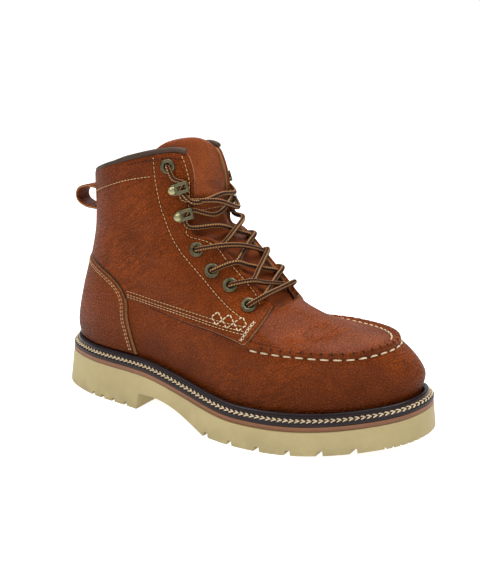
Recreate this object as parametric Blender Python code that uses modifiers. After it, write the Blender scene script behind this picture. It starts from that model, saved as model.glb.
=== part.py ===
"""Moc toe work boot for the right foot, six-inch shaft, standing empty on its sole.

Lengths are in metres. +X points to the toe, +Y to the inner (medial) side, +Z up, and the floor is z = 0.
The upper is one function of two numbers: the station, which runs round the boot from the heel (0) along the
outer side to the toe (9) and back along the inner side (18), and the level, which runs from the feather
line at the welt (0) to the rim of the collar, the eyestays and the throat (5).
"""

import math

import bmesh
import bpy
import numpy as np
from mathutils import Matrix, Vector

# Overall sizes
SOLE_LENGTH = 0.302
BALL_WIDTH = 0.112
SHAFT_HEIGHT = 0.165
SEAM_HEIGHT = 0.049

# Sole
HEEL_HEIGHT = 0.0262
FOREFOOT_THICKNESS = 0.0154
TOE_SPRING = 0.0132
TOE_THICKENING = 0.0018
ARCH_CLEARANCE = 0.0125
SOLE_FLARE = 0.0034
MIDSOLE_THICKNESS = 0.0035
WELT_THICKNESS = 0.0042
WELT_LEDGE = 0.0085
WELT_SETBACK = 0.0004
RIB_HEIGHT = 0.0044
RIB_WIDTH = 0.0042
INSOLE_THICKNESS = 0.0040
INSOLE_CLEARANCE = 0.0014
LUG_DEPTH = 0.0032
LUG_REACH = 0.0140
LUG_WIDTH = 0.0042
HEEL_LUG_WIDTH = 0.0030

# Upper
WALL = 0.0024
SWELL_HEIGHT = 0.0200
SWELL = 0.0012
MOC_RIDGE = 0.0026
OVERLAY_GAP = 0.0004
QUARTER_THICKNESS = 0.0014
COUNTER_THICKNESS = 0.0021
BACKSTAY_WIDTH = 0.018
BINDING_RADIUS = 0.0019
TONGUE_THICKNESS = 0.0032
TONGUE_CLEARANCE = 0.0014
LOOP_WIDTH = 0.015
LOOP_THICKNESS = 0.0022
LOOP_REACH = 0.019
LOOP_HEIGHT = 0.028
LOOP_DROP = 0.0065

# Hardware and lace
EYELET_RADIUS = 0.0054
EYELET_BORE = 0.0024
EYELET_BARREL = 0.0030
EYELET_FLANGE = 0.0011
HOOK_LENGTH = 0.0105
HOOK_WIDTH = 0.0078
HOOK_HEIGHT = 0.0046
RIVET_RADIUS = 0.0042
LACE_RADIUS = 0.0021
LACE_CLEARANCE = 0.0017
LACE_TURN = 0.0022
LACE_SPREAD = 0.05

# Clearance between neighbours
GAP = 0.0003

MAX_STATION = 18.0
TOE = 9.0

# Plan of the outsole at its top edge: share of the length, and of half the ball width to each side
OUTLINE = (
    # station, along, outer, inner
    (0, 0.000, 0.020, 0.020),
    (1, 0.035, -0.335, 0.420),
    (2, 0.130, -0.600, 0.655),
    (3, 0.300, -0.730, 0.580),
    (4, 0.450, -0.885, 0.640),
    (5, 0.615, -1.050, 0.840),
    (6, 0.760, -0.935, 0.945),
    (7, 0.900, -0.590, 0.800),
    (8, 0.975, -0.265, 0.550),
    (9, 1.000, 0.145, 0.145),
)

# Line of the moc seam, which runs on behind as the lower edge of the quarters
SEAM_RING = (
    # station, along, outer, inner, height
    (0, 0.061, 0.030, 0.030, 1.02),
    (1, 0.080, -0.285, 0.345, 1.02),
    (2, 0.149, -0.515, 0.555, 1.02),
    (3, 0.305, -0.620, 0.560, 1.01),
    (4, 0.457, -0.725, 0.570, 0.98),
    (5, 0.629, -0.850, 0.680, 0.98),
    (6, 0.772, -0.820, 0.680, 0.98),
    (7, 0.866, -0.620, 0.530, 0.93),
    (8, 0.910, -0.280, 0.290, 0.90),
    (9, 0.922, 0.020, 0.020, 0.89),
)

# Ankle and instep, half way up the upper
INSTEP_RING = (
    # station, along, outer, inner, height
    (0, 0.098, 0.018, 0.018, 0.578),
    (1, 0.118, -0.240, 0.265, 0.583),
    (2, 0.188, -0.510, 0.510, 0.600),
    (3, 0.334, -0.620, 0.540, 0.612),
    (4, 0.454, -0.640, 0.490, 0.505),
    (5, 0.613, -0.670, 0.490, 0.394),
    (6, 0.735, -0.545, 0.410, 0.338),
    (7, 0.798, -0.330, 0.255, 0.334),
    (8, 0.825, -0.150, 0.105, 0.330),
    (9, 0.832, -0.020, -0.020, 0.328),
)

# Rim: collar, front corner, straight edge at the hooks, notch, eyestay tab and throat
RIM_RING = (
    # station, along, outer, inner, height
    (0.00, 0.109, 0.009, 0.009, 0.852),
    (1.00, 0.127, -0.250, 0.260, 0.862),
    (2.00, 0.199, -0.530, 0.495, 0.905),
    (2.60, 0.281, -0.600, 0.525, 0.948),
    (3.00, 0.351, -0.575, 0.470, 0.984),
    (3.20, 0.394, -0.495, 0.375, 1.004),
    (3.30, 0.419, -0.440, 0.320, 1.002),
    (3.37, 0.432, -0.440, 0.310, 0.970),
    (3.46, 0.443, -0.465, 0.325, 0.900),
    (3.56, 0.445, -0.485, 0.340, 0.815),
    (3.65, 0.443, -0.500, 0.350, 0.736),
    (3.71, 0.443, -0.510, 0.355, 0.692),
    (3.76, 0.454, -0.500, 0.345, 0.675),
    (3.84, 0.483, -0.475, 0.325, 0.678),
    (3.93, 0.503, -0.455, 0.310, 0.664),
    (4.20, 0.540, -0.437, 0.290, 0.615),
    (4.60, 0.583, -0.420, 0.275, 0.547),
    (5.00, 0.619, -0.402, 0.260, 0.484),
    (5.30, 0.637, -0.380, 0.245, 0.449),
    (5.60, 0.649, -0.320, 0.200, 0.434),
    (6.20, 0.656, -0.214, 0.110, 0.431),
    (9.00, 0.660, -0.050, -0.050, 0.432),
)

# Columns and rows where the walls are sampled
STATIONS = (0, 0.45, 0.9, 1.35, 1.8, 2.3, 2.8, 3.1, 3.23, 3.32, 3.42, 3.56, 3.69, 3.75, 3.84, 3.98,
            4.3, 4.7, 5.0, 5.25, 5.6, 6.0, 6.5, 7, 7.5, 8, 8.5, 9)
LEVELS = (0, 1, 1.5, 2, 2.5, 2.85, 3.0, 3.1, 3.25, 3.7, 4.2, 4.6, 5)

# Side view of the heel counter's upper and front edge, then of the quarter's lower and front edge
COUNTER_EDGE = (
    # along, height above the bed as a share of the shaft height
    (0.030, 0.470),
    (0.095, 0.463),
    (0.150, 0.443),
    (0.205, 0.405),
    (0.240, 0.356),
    (0.254, 0.300),
    (0.254, 0.225),
    (0.262, 0.150),
    (0.274, 0.060),
)
QUARTER_EDGE = (
    # along, height
    (0.335, 0.306),
    (0.430, 0.303),
    (0.535, 0.318),
    (0.600, 0.312),
    (0.622, 0.306),
    (0.632, 0.330),
    (0.641, 0.370),
    (0.645, 0.415),
    (0.642, 0.470),
    (0.650, 0.560),
)

# Eyelets and hooks on the side view, from the throat up
HOLDERS = (
    # name, along, height, kind
    ("1", 0.6030, 0.442, "eyelet"),
    ("2", 0.5520, 0.508, "eyelet"),
    ("3", 0.5045, 0.548, "eyelet"),
    ("4", 0.4610, 0.617, "eyelet"),
    ("lower", 0.4145, 0.735, "hook"),
    ("upper", 0.3965, 0.840, "hook"),
    ("5", 0.3810, 0.937, "eyelet"),
)

# Tongue, from under the vamp to its top: rim station of its edges and the side view of its middle
INSTEP_SHIFT = -0.080
TONGUE_TOP = (0.10, 0.28, 0.52, 0.28, 0.10)
TONGUE = (
    # station, along, height
    (5.20, 0.628, 0.424),
    (4.80, 0.600, 0.478),
    (4.30, 0.560, 0.546),
    (3.95, 0.526, 0.612),
    (3.75, 0.489, 0.700),
    (3.62, 0.467, 0.774),
    (3.50, 0.448, 0.855),
    (3.32, 0.427, 0.965),
)

# Rim stations where the lace turns back, from the throat up
LACE_TURNS = (5.08, 4.70, 4.30, 4.00, 3.72, 3.578, 3.45)

# Lug slots along each side: share of the length at the middle of each
FOREFOOT_LUGS = (0.540, 0.610, 0.680, 0.750, 0.818, 0.885)
HEEL_LUGS = (0.150, 0.185, 0.222, 0.264)

# Profile under the sole from the heel breast to the ball: share of the length and of the arch clearance
ARCH = (
    # along, height
    (0.302, 0.00),
    (0.307, 1.00),
    (0.375, 1.06),
    (0.430, 0.86),
    (0.480, 0.46),
    (0.530, 0.00),
)

COLOURS = {
    # name: red, green, blue, roughness, metallic
    "leather": (0.33, 0.105, 0.030, 0.55, 0.0),
    "leather_dark": (0.17, 0.050, 0.018, 0.60, 0.0),
    "lining": (0.28, 0.13, 0.06, 0.85, 0.0),
    "binding": (0.060, 0.030, 0.022, 0.55, 0.0),
    "cream_rubber": (0.62, 0.53, 0.30, 0.65, 0.0),
    "midsole": (0.30, 0.14, 0.070, 0.70, 0.0),
    "welt": (0.040, 0.022, 0.022, 0.50, 0.0),
    "brass": (0.20, 0.19, 0.11, 0.38, 1.0),
    "lace": (0.090, 0.038, 0.018, 0.85, 0.0),
}

HALF_BALL = BALL_WIDTH / 2
MOC_LEVEL = 3.0
MOC_SPREAD = 0.13
MOC_FADE = (4.7, 5.3)
HEEL_END = 0.30
BALL_START = 0.62
SPRING_START = 0.68
TIE = 1e-5
PLAN_LOW = -0.02
PLAN_TOP = 0.08


def clear_scene():
    for item in list(bpy.data.objects):
        bpy.data.objects.remove(item, do_unlink=True)
    for item in list(bpy.data.collections):
        bpy.data.collections.remove(item)


def through(points, where, closed=False):
    """Points at the fractional rows `where` of a smooth centripetal curve through the rows of `points`."""
    points = np.asarray(points, float)
    where = np.atleast_1d(np.asarray(where, float))
    rows = len(points)
    if closed:
        padded = np.concatenate([points[-1:], points, points[:2]])
        where = np.mod(where, rows)
    else:
        head = 2 * points[:1] - points[1:2]
        tail = 2 * points[-1:] - points[-2:-1]
        padded = np.concatenate([head, points, tail])
    last = rows - 1 if closed else rows - 2
    start = np.clip(np.floor(where).astype(int), 0, last)
    part = (where - start).reshape((-1,) + (1,) * (points.ndim - 1))
    a, b, c, d = (padded[start + k] for k in range(4))

    def span(p, q):
        return np.maximum(np.sqrt(np.linalg.norm(q - p, axis=-1, keepdims=True)), TIE)

    ab, bc, cd = span(a, b), span(b, c), span(c, d)
    leave = (c - b) + bc * ((b - a) / ab - (c - a) / (ab + bc))
    arrive = (c - b) + bc * ((d - c) / cd - (d - b) / (bc + cd))
    square = part * part
    cube = square * part
    return ((2 * cube - 3 * square + 1) * b + (cube - 2 * square + part) * leave
            + (3 * square - 2 * cube) * c + (cube - square) * arrive)


def smooth_step(value):
    value = np.clip(value, 0.0, 1.0)
    return value * value * (3.0 - 2.0 * value)


def unit(vectors):
    return vectors / np.maximum(np.linalg.norm(vectors, axis=-1, keepdims=True), 1e-12)


def toe_rise(along):
    share = np.clip((np.asarray(along) / SOLE_LENGTH - SPRING_START) / (1.0 - SPRING_START), 0.0, None)
    return TOE_SPRING * share * share


def sole_bottom(along):
    """Height of the forefoot's underside, which grows a little thicker towards the toe."""
    return toe_rise(along) * (1.0 - TOE_THICKENING / TOE_SPRING)


def sole_top(along):
    """Height of the outsole's upper face at a distance from the heel's back."""
    share = np.asarray(along) / SOLE_LENGTH
    fall = smooth_step((share - HEEL_END) / (BALL_START - HEEL_END))
    return HEEL_HEIGHT + (FOREFOOT_THICKNESS - HEEL_HEIGHT) * fall + toe_rise(along)


def bed(along):
    """Height of the midsole's upper face, which carries the welt, the upper and the insole."""
    return sole_top(along) + MIDSOLE_THICKNESS


def both_sides(table):
    """Stations and rows of a table, the outer side first and then the inner side back to the heel."""
    outer = [(row[0], row[1], row[2]) + tuple(row[4:]) for row in table]
    inner = [(MAX_STATION - row[0], row[1], row[3]) + tuple(row[4:]) for row in table]
    rows = outer + inner[::-1][1:-1]
    return np.array(rows, float)


def loop_at(table, station, rise):
    """Points of one ring at the given stations; `rise` is the size that the heights are shares of."""
    rows = both_sides(table)
    knots = np.append(rows[:, 0], MAX_STATION)
    along = rows[:, 1] * SOLE_LENGTH
    across = rows[:, 2] * HALF_BALL
    if rise is None:
        points = np.stack([along, across], 1)
    else:
        points = np.stack([along, across, bed(along) + rows[:, 3] * rise], 1)
    where = np.interp(np.mod(station, MAX_STATION), knots, np.arange(len(knots)))
    return through(points, where, closed=True)


def outline(station, inset):
    """Plan of the sole at the given stations, moved inwards by `inset`."""
    station = np.atleast_1d(np.asarray(station, float))
    step = 0.02
    here = loop_at(OUTLINE, station, None)
    tangent = loop_at(OUTLINE, station + step, None) - loop_at(OUTLINE, station - step, None)
    normal = unit(np.stack([tangent[:, 1], -tangent[:, 0]], 1))
    return here - normal * np.broadcast_to(inset, station.shape)[:, None]


def ring_points(station):
    """The six rings of the upper at the given stations, from the feather line to the rim."""
    feather = outline(station, WELT_LEDGE)
    swell = outline(station, WELT_LEDGE - SWELL)
    low = np.column_stack([feather, bed(feather[:, 0]) + GAP])
    rib = np.column_stack([feather, bed(feather[:, 0]) + WELT_THICKNESS + RIB_HEIGHT])
    bulge = np.column_stack([swell, bed(swell[:, 0]) + SWELL_HEIGHT])
    seam = loop_at(SEAM_RING, station, SEAM_HEIGHT)
    instep = loop_at(INSTEP_RING, station, SHAFT_HEIGHT)
    rim = loop_at(RIM_RING, station, SHAFT_HEIGHT)
    return np.stack([low, rib, bulge, seam, instep, rim])


def last_surface(station, level):
    """Grid of points of the smooth upper, levels by stations."""
    station = np.atleast_1d(np.asarray(station, float))
    level = np.atleast_1d(np.asarray(level, float))
    return through(ring_points(station), level)


def last_normals(station, level):
    """Outward normals of the smooth upper on the same grid."""
    station = np.atleast_1d(np.asarray(station, float))
    level = np.atleast_1d(np.asarray(level, float))
    step = 0.03
    above = np.minimum(level + step, 5.0)
    below = np.maximum(level - step, 0.0)
    upward = last_surface(station, above) - last_surface(station, below)
    onward = last_surface(station + step, level) - last_surface(station - step, level)
    return unit(np.cross(onward, upward))


def upper_grid(station, level, lift):
    """Grid of the upper's outer face at a height above it, with the raised moc seam round the toe."""
    station = np.asarray(station, float)
    level = np.asarray(level, float)
    side = np.minimum(np.mod(station, MAX_STATION), MAX_STATION - np.mod(station, MAX_STATION))
    fade = smooth_step((side - MOC_FADE[0]) / (MOC_FADE[1] - MOC_FADE[0]))
    roll = np.exp(-((level - MOC_LEVEL) / MOC_SPREAD) ** 2)
    rise = lift + MOC_RIDGE * roll[:, None] * fade[None, :]
    return last_surface(station, level) + last_normals(station, level) * rise[:, :, None]


def side_point(along, height, inner):
    """Station and level where the side view's point lies on the outer or the inner side."""
    stations = np.linspace(2.0, 6.0, 81)
    levels = np.linspace(2.5, 5.0, 51)
    if inner:
        stations = MAX_STATION - stations
    goal = np.array([along * SOLE_LENGTH, bed(along * SOLE_LENGTH) + height * SHAFT_HEIGHT])
    grid = last_surface(stations, levels)[:, :, [0, 2]]
    row, column = np.unravel_index(np.argmin(np.linalg.norm(grid - goal, axis=2)), grid.shape[:2])
    spot = np.array([stations[column], levels[row]])
    step = 0.01
    for _ in range(6):
        here = last_surface(spot[0], spot[1])[0, 0, [0, 2]]
        by_station = (last_surface(spot[0] + step, spot[1])[0, 0, [0, 2]] - here) / step
        by_level = (last_surface(spot[0], spot[1] - step)[0, 0, [0, 2]] - here) / -step
        move = np.linalg.lstsq(np.column_stack([by_station, by_level]), goal - here, rcond=None)[0]
        spot = spot + np.clip(move, -0.2, 0.2)
        spot[1] = min(spot[1], 5.0)
    return spot


def make_material(name):
    red, green, blue, roughness, metallic = COLOURS[name]
    material = bpy.data.materials.new(name)
    material.use_nodes = True
    shader = material.node_tree.nodes["Principled BSDF"]
    shader.inputs["Base Color"].default_value = (red, green, blue, 1.0)
    shader.inputs["Roughness"].default_value = roughness
    shader.inputs["Metallic"].default_value = metallic
    material.diffuse_color = (red, green, blue, 1.0)
    return material


def new_object(name, mesh, home, colour=None):
    item = bpy.data.objects.new(name, mesh)
    home.objects.link(item)
    if colour is not None:
        material = make_material(colour)
        material.name = name
        mesh.materials.append(material)
    return item


def mesh_from(vertices, faces):
    mesh = bpy.data.meshes.new("form")
    mesh.from_pydata([tuple(map(float, v)) for v in vertices], [], faces)
    mesh.validate()
    return mesh


def grid_mesh(grid, wrap):
    """Sheet through a grid of points, rows by columns, closed round the columns when `wrap` is set.

    Every cell is split along the same diagonal, so that sheets on the same rows and columns stay parallel.
    """
    rows, columns = grid.shape[:2]
    faces = []
    for row in range(rows - 1):
        for column in range(columns if wrap else columns - 1):
            here = row * columns + column
            after = row * columns + (column + 1) % columns
            faces.append((here, after, after + columns))
            faces.append((here, after + columns, here + columns))
    return mesh_from(grid.reshape(-1, 3), faces)


def loft_solid(loops):
    """Closed body through loops with equal counts, from the lowest up, with flat ends."""
    count = len(loops[0])
    faces = [tuple(range(count))[::-1]]
    for level in range(len(loops) - 1):
        for k in range(count):
            after = (k + 1) % count
            faces.append((level * count + k, level * count + after,
                          (level + 1) * count + after, (level + 1) * count + k))
    top = (len(loops) - 1) * count
    faces.append(tuple(range(top, top + count)))
    return mesh_from(np.concatenate(loops), faces)


def side_prism(points, near, far):
    """Body whose side view is the outline `points` (along, height) and that spans `near` to `far` across."""
    points = np.asarray(points, float)
    area = np.sum(points[:, 0] * np.roll(points[:, 1], -1) - np.roll(points[:, 0], -1) * points[:, 1])
    if area < 0:
        points = points[::-1]
    first = np.stack([points[:, 0], np.full(len(points), far), points[:, 1]], 1)
    second = np.stack([points[:, 0], np.full(len(points), near), points[:, 1]], 1)
    return loft_solid([first, second])


def solidify(item, thickness, side=-1.0):
    shell = item.modifiers.new("wall", "SOLIDIFY")
    shell.thickness = thickness
    shell.offset = side
    shell.use_rim = True
    shell.use_even_offset = False


def boolean(item, cutter, operation):
    cut = item.modifiers.new(operation.lower(), "BOOLEAN")
    cut.operation = operation
    cut.object = cutter
    cut.solver = "EXACT"


def applied_mesh(item):
    """The object's mesh with its modifiers worked in."""
    bpy.context.view_layer.update()
    graph = bpy.context.evaluated_depsgraph_get()
    return bpy.data.meshes.new_from_object(item.evaluated_get(graph))


def shade(item, degrees=40.0):
    item.data.shade_smooth()
    item.data.set_sharp_from_angle(angle=math.radians(degrees))


def plan_stations():
    """Stations where the sole's outline is sampled, closest round the heel and the toe."""
    outer = np.concatenate([np.arange(0.0, 2.0, 0.25), np.arange(2.0, 6.0, 0.4), np.arange(6.0, 9.0, 0.25), [9.0]])
    return np.concatenate([outer, (MAX_STATION - outer)[::-1][1:-1]])


def all_stations():
    outer = np.array(STATIONS, float)
    return np.concatenate([outer, (MAX_STATION - outer)[::-1][1:-1]])


def edge_points(table, samples):
    """Side view of an edge: distances from the heel's back and heights above the floor."""
    rows = np.array(table, float)
    along = rows[:, 0] * SOLE_LENGTH
    points = np.stack([along, bed(along) + rows[:, 1] * SHAFT_HEIGHT], 1)
    return through(points, np.linspace(0, len(rows) - 1, samples))


def build_soles(parts, cutters):
    around = plan_stations()
    along = np.linspace(0.0, 1.0, 27) * SOLE_LENGTH
    reach = BALL_WIDTH

    def slab(name, colour, top_inset, low_inset, top, under):
        plan_low = outline(around, low_inset)
        plan_top = outline(around, top_inset)
        low = np.column_stack([plan_low, np.full(len(around), PLAN_LOW)])
        high = np.column_stack([plan_top, np.full(len(around), PLAN_TOP)])
        profile = np.concatenate([under, top[::-1]])
        item = new_object(name, side_prism(profile, -reach, reach), parts, colour)
        plan = new_object(name + "_plan", loft_solid([low, high]), cutters)
        boolean(item, plan, "INTERSECT")
        return item

    margin = 0.01
    inside = np.concatenate([[-margin], along[1:-1], [SOLE_LENGTH + margin]])
    arch = [(share * SOLE_LENGTH, height * ARCH_CLEARANCE) for share, height in ARCH]
    forward = along[along > arch[-1][0] + margin]
    forward = np.concatenate([forward, [SOLE_LENGTH + margin]])
    heel_round = [(-margin, 0.0075), (0.0, 0.0075), (0.0012, 0.0030), (0.0050, 0.0)]
    under = np.array(heel_round + arch + [(u, float(sole_bottom(u))) for u in forward])
    top = np.column_stack([inside, sole_top(inside)])
    slope = SOLE_FLARE / HEEL_HEIGHT
    outsole = slab("outsole", "cream_rubber", slope * (PLAN_TOP - HEEL_HEIGHT),
                   -slope * (HEEL_HEIGHT - PLAN_LOW), top, under)
    lugs = new_object("lug_slots", lug_slots(around), cutters)
    boolean(outsole, lugs, "DIFFERENCE")

    def layer(name, colour, inset, lift, thickness):
        low_face = np.column_stack([inside, sole_top(inside) + lift])
        top_face = low_face + np.array([0.0, thickness])
        return slab(name, colour, inset, inset, top_face, low_face)

    midsole = layer("midsole", "midsole", WELT_SETBACK, GAP, MIDSOLE_THICKNESS - GAP)
    room = WELT_LEDGE + WALL + INSOLE_CLEARANCE
    insole = layer("insole", "lining", room, MIDSOLE_THICKNESS + GAP, INSOLE_THICKNESS)
    return outsole, midsole, insole


def lug_slots(around):
    """Cutters for the slots that part the lugs, from each side inwards."""
    plan = outline(around, 0.0)
    form = bmesh.new()
    half = len(around) // 2
    for shares, width in ((FOREFOOT_LUGS, LUG_WIDTH), (HEEL_LUGS, HEEL_LUG_WIDTH)):
        for share in shares:
            along = share * SOLE_LENGTH
            outer = np.interp(along, plan[:half + 1, 0], plan[:half + 1, 1])
            inner = np.interp(along, plan[half:, 0][::-1], plan[half:, 1][::-1])
            for edge, inwards in ((outer, 1.0), (inner, -1.0)):
                low = float(sole_bottom(along)) - 0.006
                deep = float(sole_bottom(along)) + LUG_DEPTH * width / LUG_WIDTH
                made = bmesh.ops.create_cube(form, size=1.0)["verts"]
                ends = (edge - inwards * 0.008, edge + inwards * LUG_REACH)
                for vertex in made:
                    upper = vertex.co.z > 0
                    share_width = 0.62 if upper else 1.35
                    vertex.co.x = along + math.copysign(width * share_width / 2, vertex.co.x)
                    vertex.co.y = max(ends) if vertex.co.y > 0 else min(ends)
                    vertex.co.z = deep if upper else low
    bmesh.ops.recalc_face_normals(form, faces=form.faces)
    mesh = bpy.data.meshes.new("slots")
    form.to_mesh(mesh)
    form.free()
    return mesh


def build_welt(parts):
    """Ring on the midsole: a flat ledge outside and a rounded rib against the upper."""
    around = plan_stations()
    inner = WELT_LEDGE - OVERLAY_GAP - GAP / 2
    outer = WELT_SETBACK
    top = WELT_THICKNESS
    rib = WELT_THICKNESS + RIB_HEIGHT
    section = (
        # inset from the sole's edge, height above the midsole
        (inner, GAP),
        (outer, GAP),
        (outer, top),
        (inner - RIB_WIDTH, top),
        (inner - RIB_WIDTH * 0.84, rib - RIB_HEIGHT * 0.25),
        (inner - RIB_WIDTH * 0.40, rib),
        (inner, rib - RIB_HEIGHT * 0.35),
    )
    loops = []
    for inset, height in section:
        plan = outline(around, inset)
        loops.append(np.column_stack([plan, bed(plan[:, 0]) + height]))
    grid = np.array(loops)
    rows, columns = grid.shape[:2]
    faces = []
    for row in range(rows):
        for column in range(columns):
            after = (column + 1) % columns
            following = (row + 1) % rows
            faces.append((row * columns + column, row * columns + after,
                          following * columns + after, following * columns + column))
    item = new_object("welt", mesh_from(grid.reshape(-1, 3), faces), parts, "welt")
    shade(item)
    return item


def build_upper(parts, cutters, holes):
    grid = upper_grid(all_stations(), LEVELS, 0.0)
    item = new_object("upper", grid_mesh(grid, True), parts, "leather")
    solidify(item, WALL)
    boolean(item, holes, "DIFFERENCE")
    shade(item)
    return item


def overlay(name, colour, home, stations, levels, thickness, window):
    """Panel on the upper: a shell from the upper's own function, cut to its window."""
    grid = upper_grid(stations, levels, OVERLAY_GAP)
    item = new_object(name, grid_mesh(grid, False), home, colour)
    solidify(item, thickness, 1.0)
    boolean(item, window, "INTERSECT")
    shade(item)
    return item


def build_overlays(parts, cutters, holes):
    far = BALL_WIDTH
    counter_edge = edge_points(COUNTER_EDGE, 17)
    front_foot = (counter_edge[-1][0] + 0.004, 0.0)
    counter_outline = np.concatenate([[(-0.05, counter_edge[0][1])], counter_edge, [front_foot, (-0.05, 0.0)]])
    counter_window = new_object("counter_window", side_prism(counter_outline, -far, far), cutters)
    levels = np.array(LEVELS, float)
    outer = np.array([s for s in STATIONS if s <= 4.3], float)
    wrap = np.concatenate([-outer[::-1][:-1], outer])
    low = np.concatenate([[1.08], levels[(levels > 1.08) & (levels <= 4.4)]])
    items = [overlay("heel_counter", "leather", parts, wrap, low, COUNTER_THICKNESS, counter_window)]

    # The quarters start a gap outside the counter's edge and the backstay
    step = np.gradient(counter_edge, axis=0)
    outward = unit(np.stack([-step[:, 1], step[:, 0]], 1))
    moved = counter_edge + outward * 2 * GAP
    moved = moved[moved[:, 1] > edge_points(QUARTER_EDGE, 5)[0][1] - 0.0005]
    quarter_edge = edge_points(QUARTER_EDGE, 19)
    roof = 0.30
    quarter_outline = np.concatenate([[(-0.05, roof), (-0.05, moved[0][1])], moved, quarter_edge,
                                      [(quarter_edge[-1][0] + 0.03, roof)]])
    high = levels[levels >= 2.5]
    backstay = BACKSTAY_WIDTH / 2
    for name, inner in (("quarter_lateral", False), ("quarter_medial", True)):
        near = backstay + GAP
        span = (near, far) if inner else (-far, -near)
        window = new_object(name + "_window", side_prism(quarter_outline, *span), cutters)
        side = np.array([s for s in STATIONS if s <= 6.1], float)
        stations = (MAX_STATION - side)[::-1] if inner else side
        item = overlay(name, "leather", parts, stations, high, QUARTER_THICKNESS, window)
        boolean(item, holes, "DIFFERENCE")
        items.append(item)

    stay_low = counter_edge[0][1] + 2 * GAP
    stay_outline = np.array([(-0.05, stay_low), (0.10, stay_low), (0.10, roof), (-0.05, roof)])
    window = new_object("backstay_window", side_prism(stay_outline, -backstay, backstay), cutters)
    near_back = np.array([s for s in STATIONS if s <= 1.2], float)
    narrow = np.concatenate([-near_back[::-1][:-1], near_back])
    items.append(overlay("backstay", "leather", parts, narrow, high, COUNTER_THICKNESS, window))
    return items


def holder_frame(along, height, inner, behind=0.0, ahead=0.0, half_width=0.0):
    """Place and axes of a holder on the upper: forward to the rim, along the eyestay, and outwards.

    The place stands off the surface by its highest point under the holder's footprint.
    """
    station, level = side_point(along, height, inner)
    point = last_surface(station, level)[0, 0]
    normal = last_normals(station, level)[0, 0]
    forward = np.array([1.0, 0.0, 0.0])
    forward = unit(forward - normal * np.dot(forward, normal))
    side = np.cross(normal, forward)
    around = last_surface(station + np.linspace(-0.7, 0.7, 57), np.linspace(max(level - 0.6, 3.0), 5.0, 41))
    local = (around - point).reshape(-1, 3)
    under = (local @ forward > -behind) & (local @ forward < ahead) & (np.abs(local @ side) < half_width)
    if under.any():
        point = point + normal * max((local @ normal)[under].max(), 0.0)
    return Matrix([[forward[k], side[k], normal[k], point[k]] for k in range(3)] + [[0, 0, 0, 1]])


def hole_cutters(cutters):
    form = bmesh.new()
    for name, along, height, kind in HOLDERS:
        for inner in (False, True):
            if kind != "eyelet":
                continue
            frame = holder_frame(along, height, inner)
            bmesh.ops.create_cone(form, cap_ends=True, segments=10, radius1=EYELET_BARREL + GAP,
                                  radius2=EYELET_BARREL + GAP, depth=0.016, matrix=frame)
    mesh = bpy.data.meshes.new("holes")
    form.to_mesh(mesh)
    form.free()
    return new_object("eyelet_holes", mesh, cutters)


def turned(profile, steps):
    """Ring turned about Z from a closed profile of radius and height pairs, going up its outer side."""
    angles = np.linspace(0.0, 2 * math.pi, steps, endpoint=False)
    rows = [np.stack([r * np.cos(angles), r * np.sin(angles), np.full(steps, z)], 1) for r, z in profile]
    grid = np.array(rows)
    count = len(profile)
    faces = []
    for row in range(count):
        for column in range(steps):
            after = (column + 1) % steps
            following = (row + 1) % count
            faces.append((row * steps + column, row * steps + after,
                          following * steps + after, following * steps + column))
    return mesh_from(grid.reshape(-1, 3), faces)


def build_eyelets(parts):
    seat = OVERLAY_GAP + QUARTER_THICKNESS + 2 * GAP
    profile = (
        (EYELET_BARREL, -WALL - GAP),
        (EYELET_BARREL, seat),
        (EYELET_RADIUS, seat),
        (EYELET_RADIUS - 0.0008, seat + EYELET_FLANGE),
        (EYELET_BORE + 0.0004, seat + EYELET_FLANGE),
        (EYELET_BORE, -WALL - GAP),
    )
    items = []
    for inner, side in ((False, "lateral"), (True, "medial")):
        for name, along, height, kind in HOLDERS:
            if kind == "eyelet":
                frame = holder_frame(along, height, inner, EYELET_RADIUS, EYELET_RADIUS, EYELET_RADIUS)
                item = new_object(f"eyelet_{side}_{name}", turned(profile, 10), parts, "brass")
            else:
                frame = holder_frame(along, height, inner, RIVET_RADIUS, HOOK_LENGTH, HOOK_WIDTH / 2)
                item = new_object(f"lace_hook_{side}_{name}", hook_mesh(seat), parts, "brass")
            item.matrix_world = frame
            shade(item)
            items.append(item)
    return items


def hook_mesh(seat):
    """Speed hook: a domed rivet behind and a folded strap in front, open below for the lace."""
    plate = 0.0009
    wall = 0.0011
    profile = np.array([
        (-RIVET_RADIUS, seat), (HOOK_LENGTH, seat), (HOOK_LENGTH, seat + HOOK_HEIGHT),
        (0.0035, seat + HOOK_HEIGHT), (0.0035, seat + HOOK_HEIGHT - wall),
        (HOOK_LENGTH - wall, seat + HOOK_HEIGHT - wall), (HOOK_LENGTH - wall, seat + plate),
        (-RIVET_RADIUS, seat + plate),
    ])
    strap = new_object("strap", side_prism(profile, -HOOK_WIDTH / 2, HOOK_WIDTH / 2), bpy.context.scene.collection)
    form = bmesh.new()
    bmesh.ops.create_cone(form, cap_ends=True, segments=10, radius1=RIVET_RADIUS * 0.96,
                          radius2=RIVET_RADIUS * 0.45, depth=0.0022,
                          matrix=Matrix.Translation((-0.0006, 0.0, seat + plate + 0.0009)))
    mesh = bpy.data.meshes.new("rivet")
    form.to_mesh(mesh)
    form.free()
    rivet = new_object("rivet", mesh, bpy.context.scene.collection)
    boolean(strap, rivet, "UNION")
    made = applied_mesh(strap)
    for item in (strap, rivet):
        bpy.data.objects.remove(item, do_unlink=True)
    return made


def inner_point(station, inset, depth):
    """Point `inset` from the rim down the wall at a station, and `depth` inside the outer face."""
    levels = np.linspace(5.0, 3.6, 57)
    column = last_surface(station, levels)[:, 0]
    run = np.concatenate([[0.0], np.cumsum(np.linalg.norm(np.diff(column, axis=0), axis=1))])
    level = np.interp(inset, run, levels)
    return last_surface(station, level)[0, 0] - last_normals(station, level)[0, 0] * depth


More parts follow.
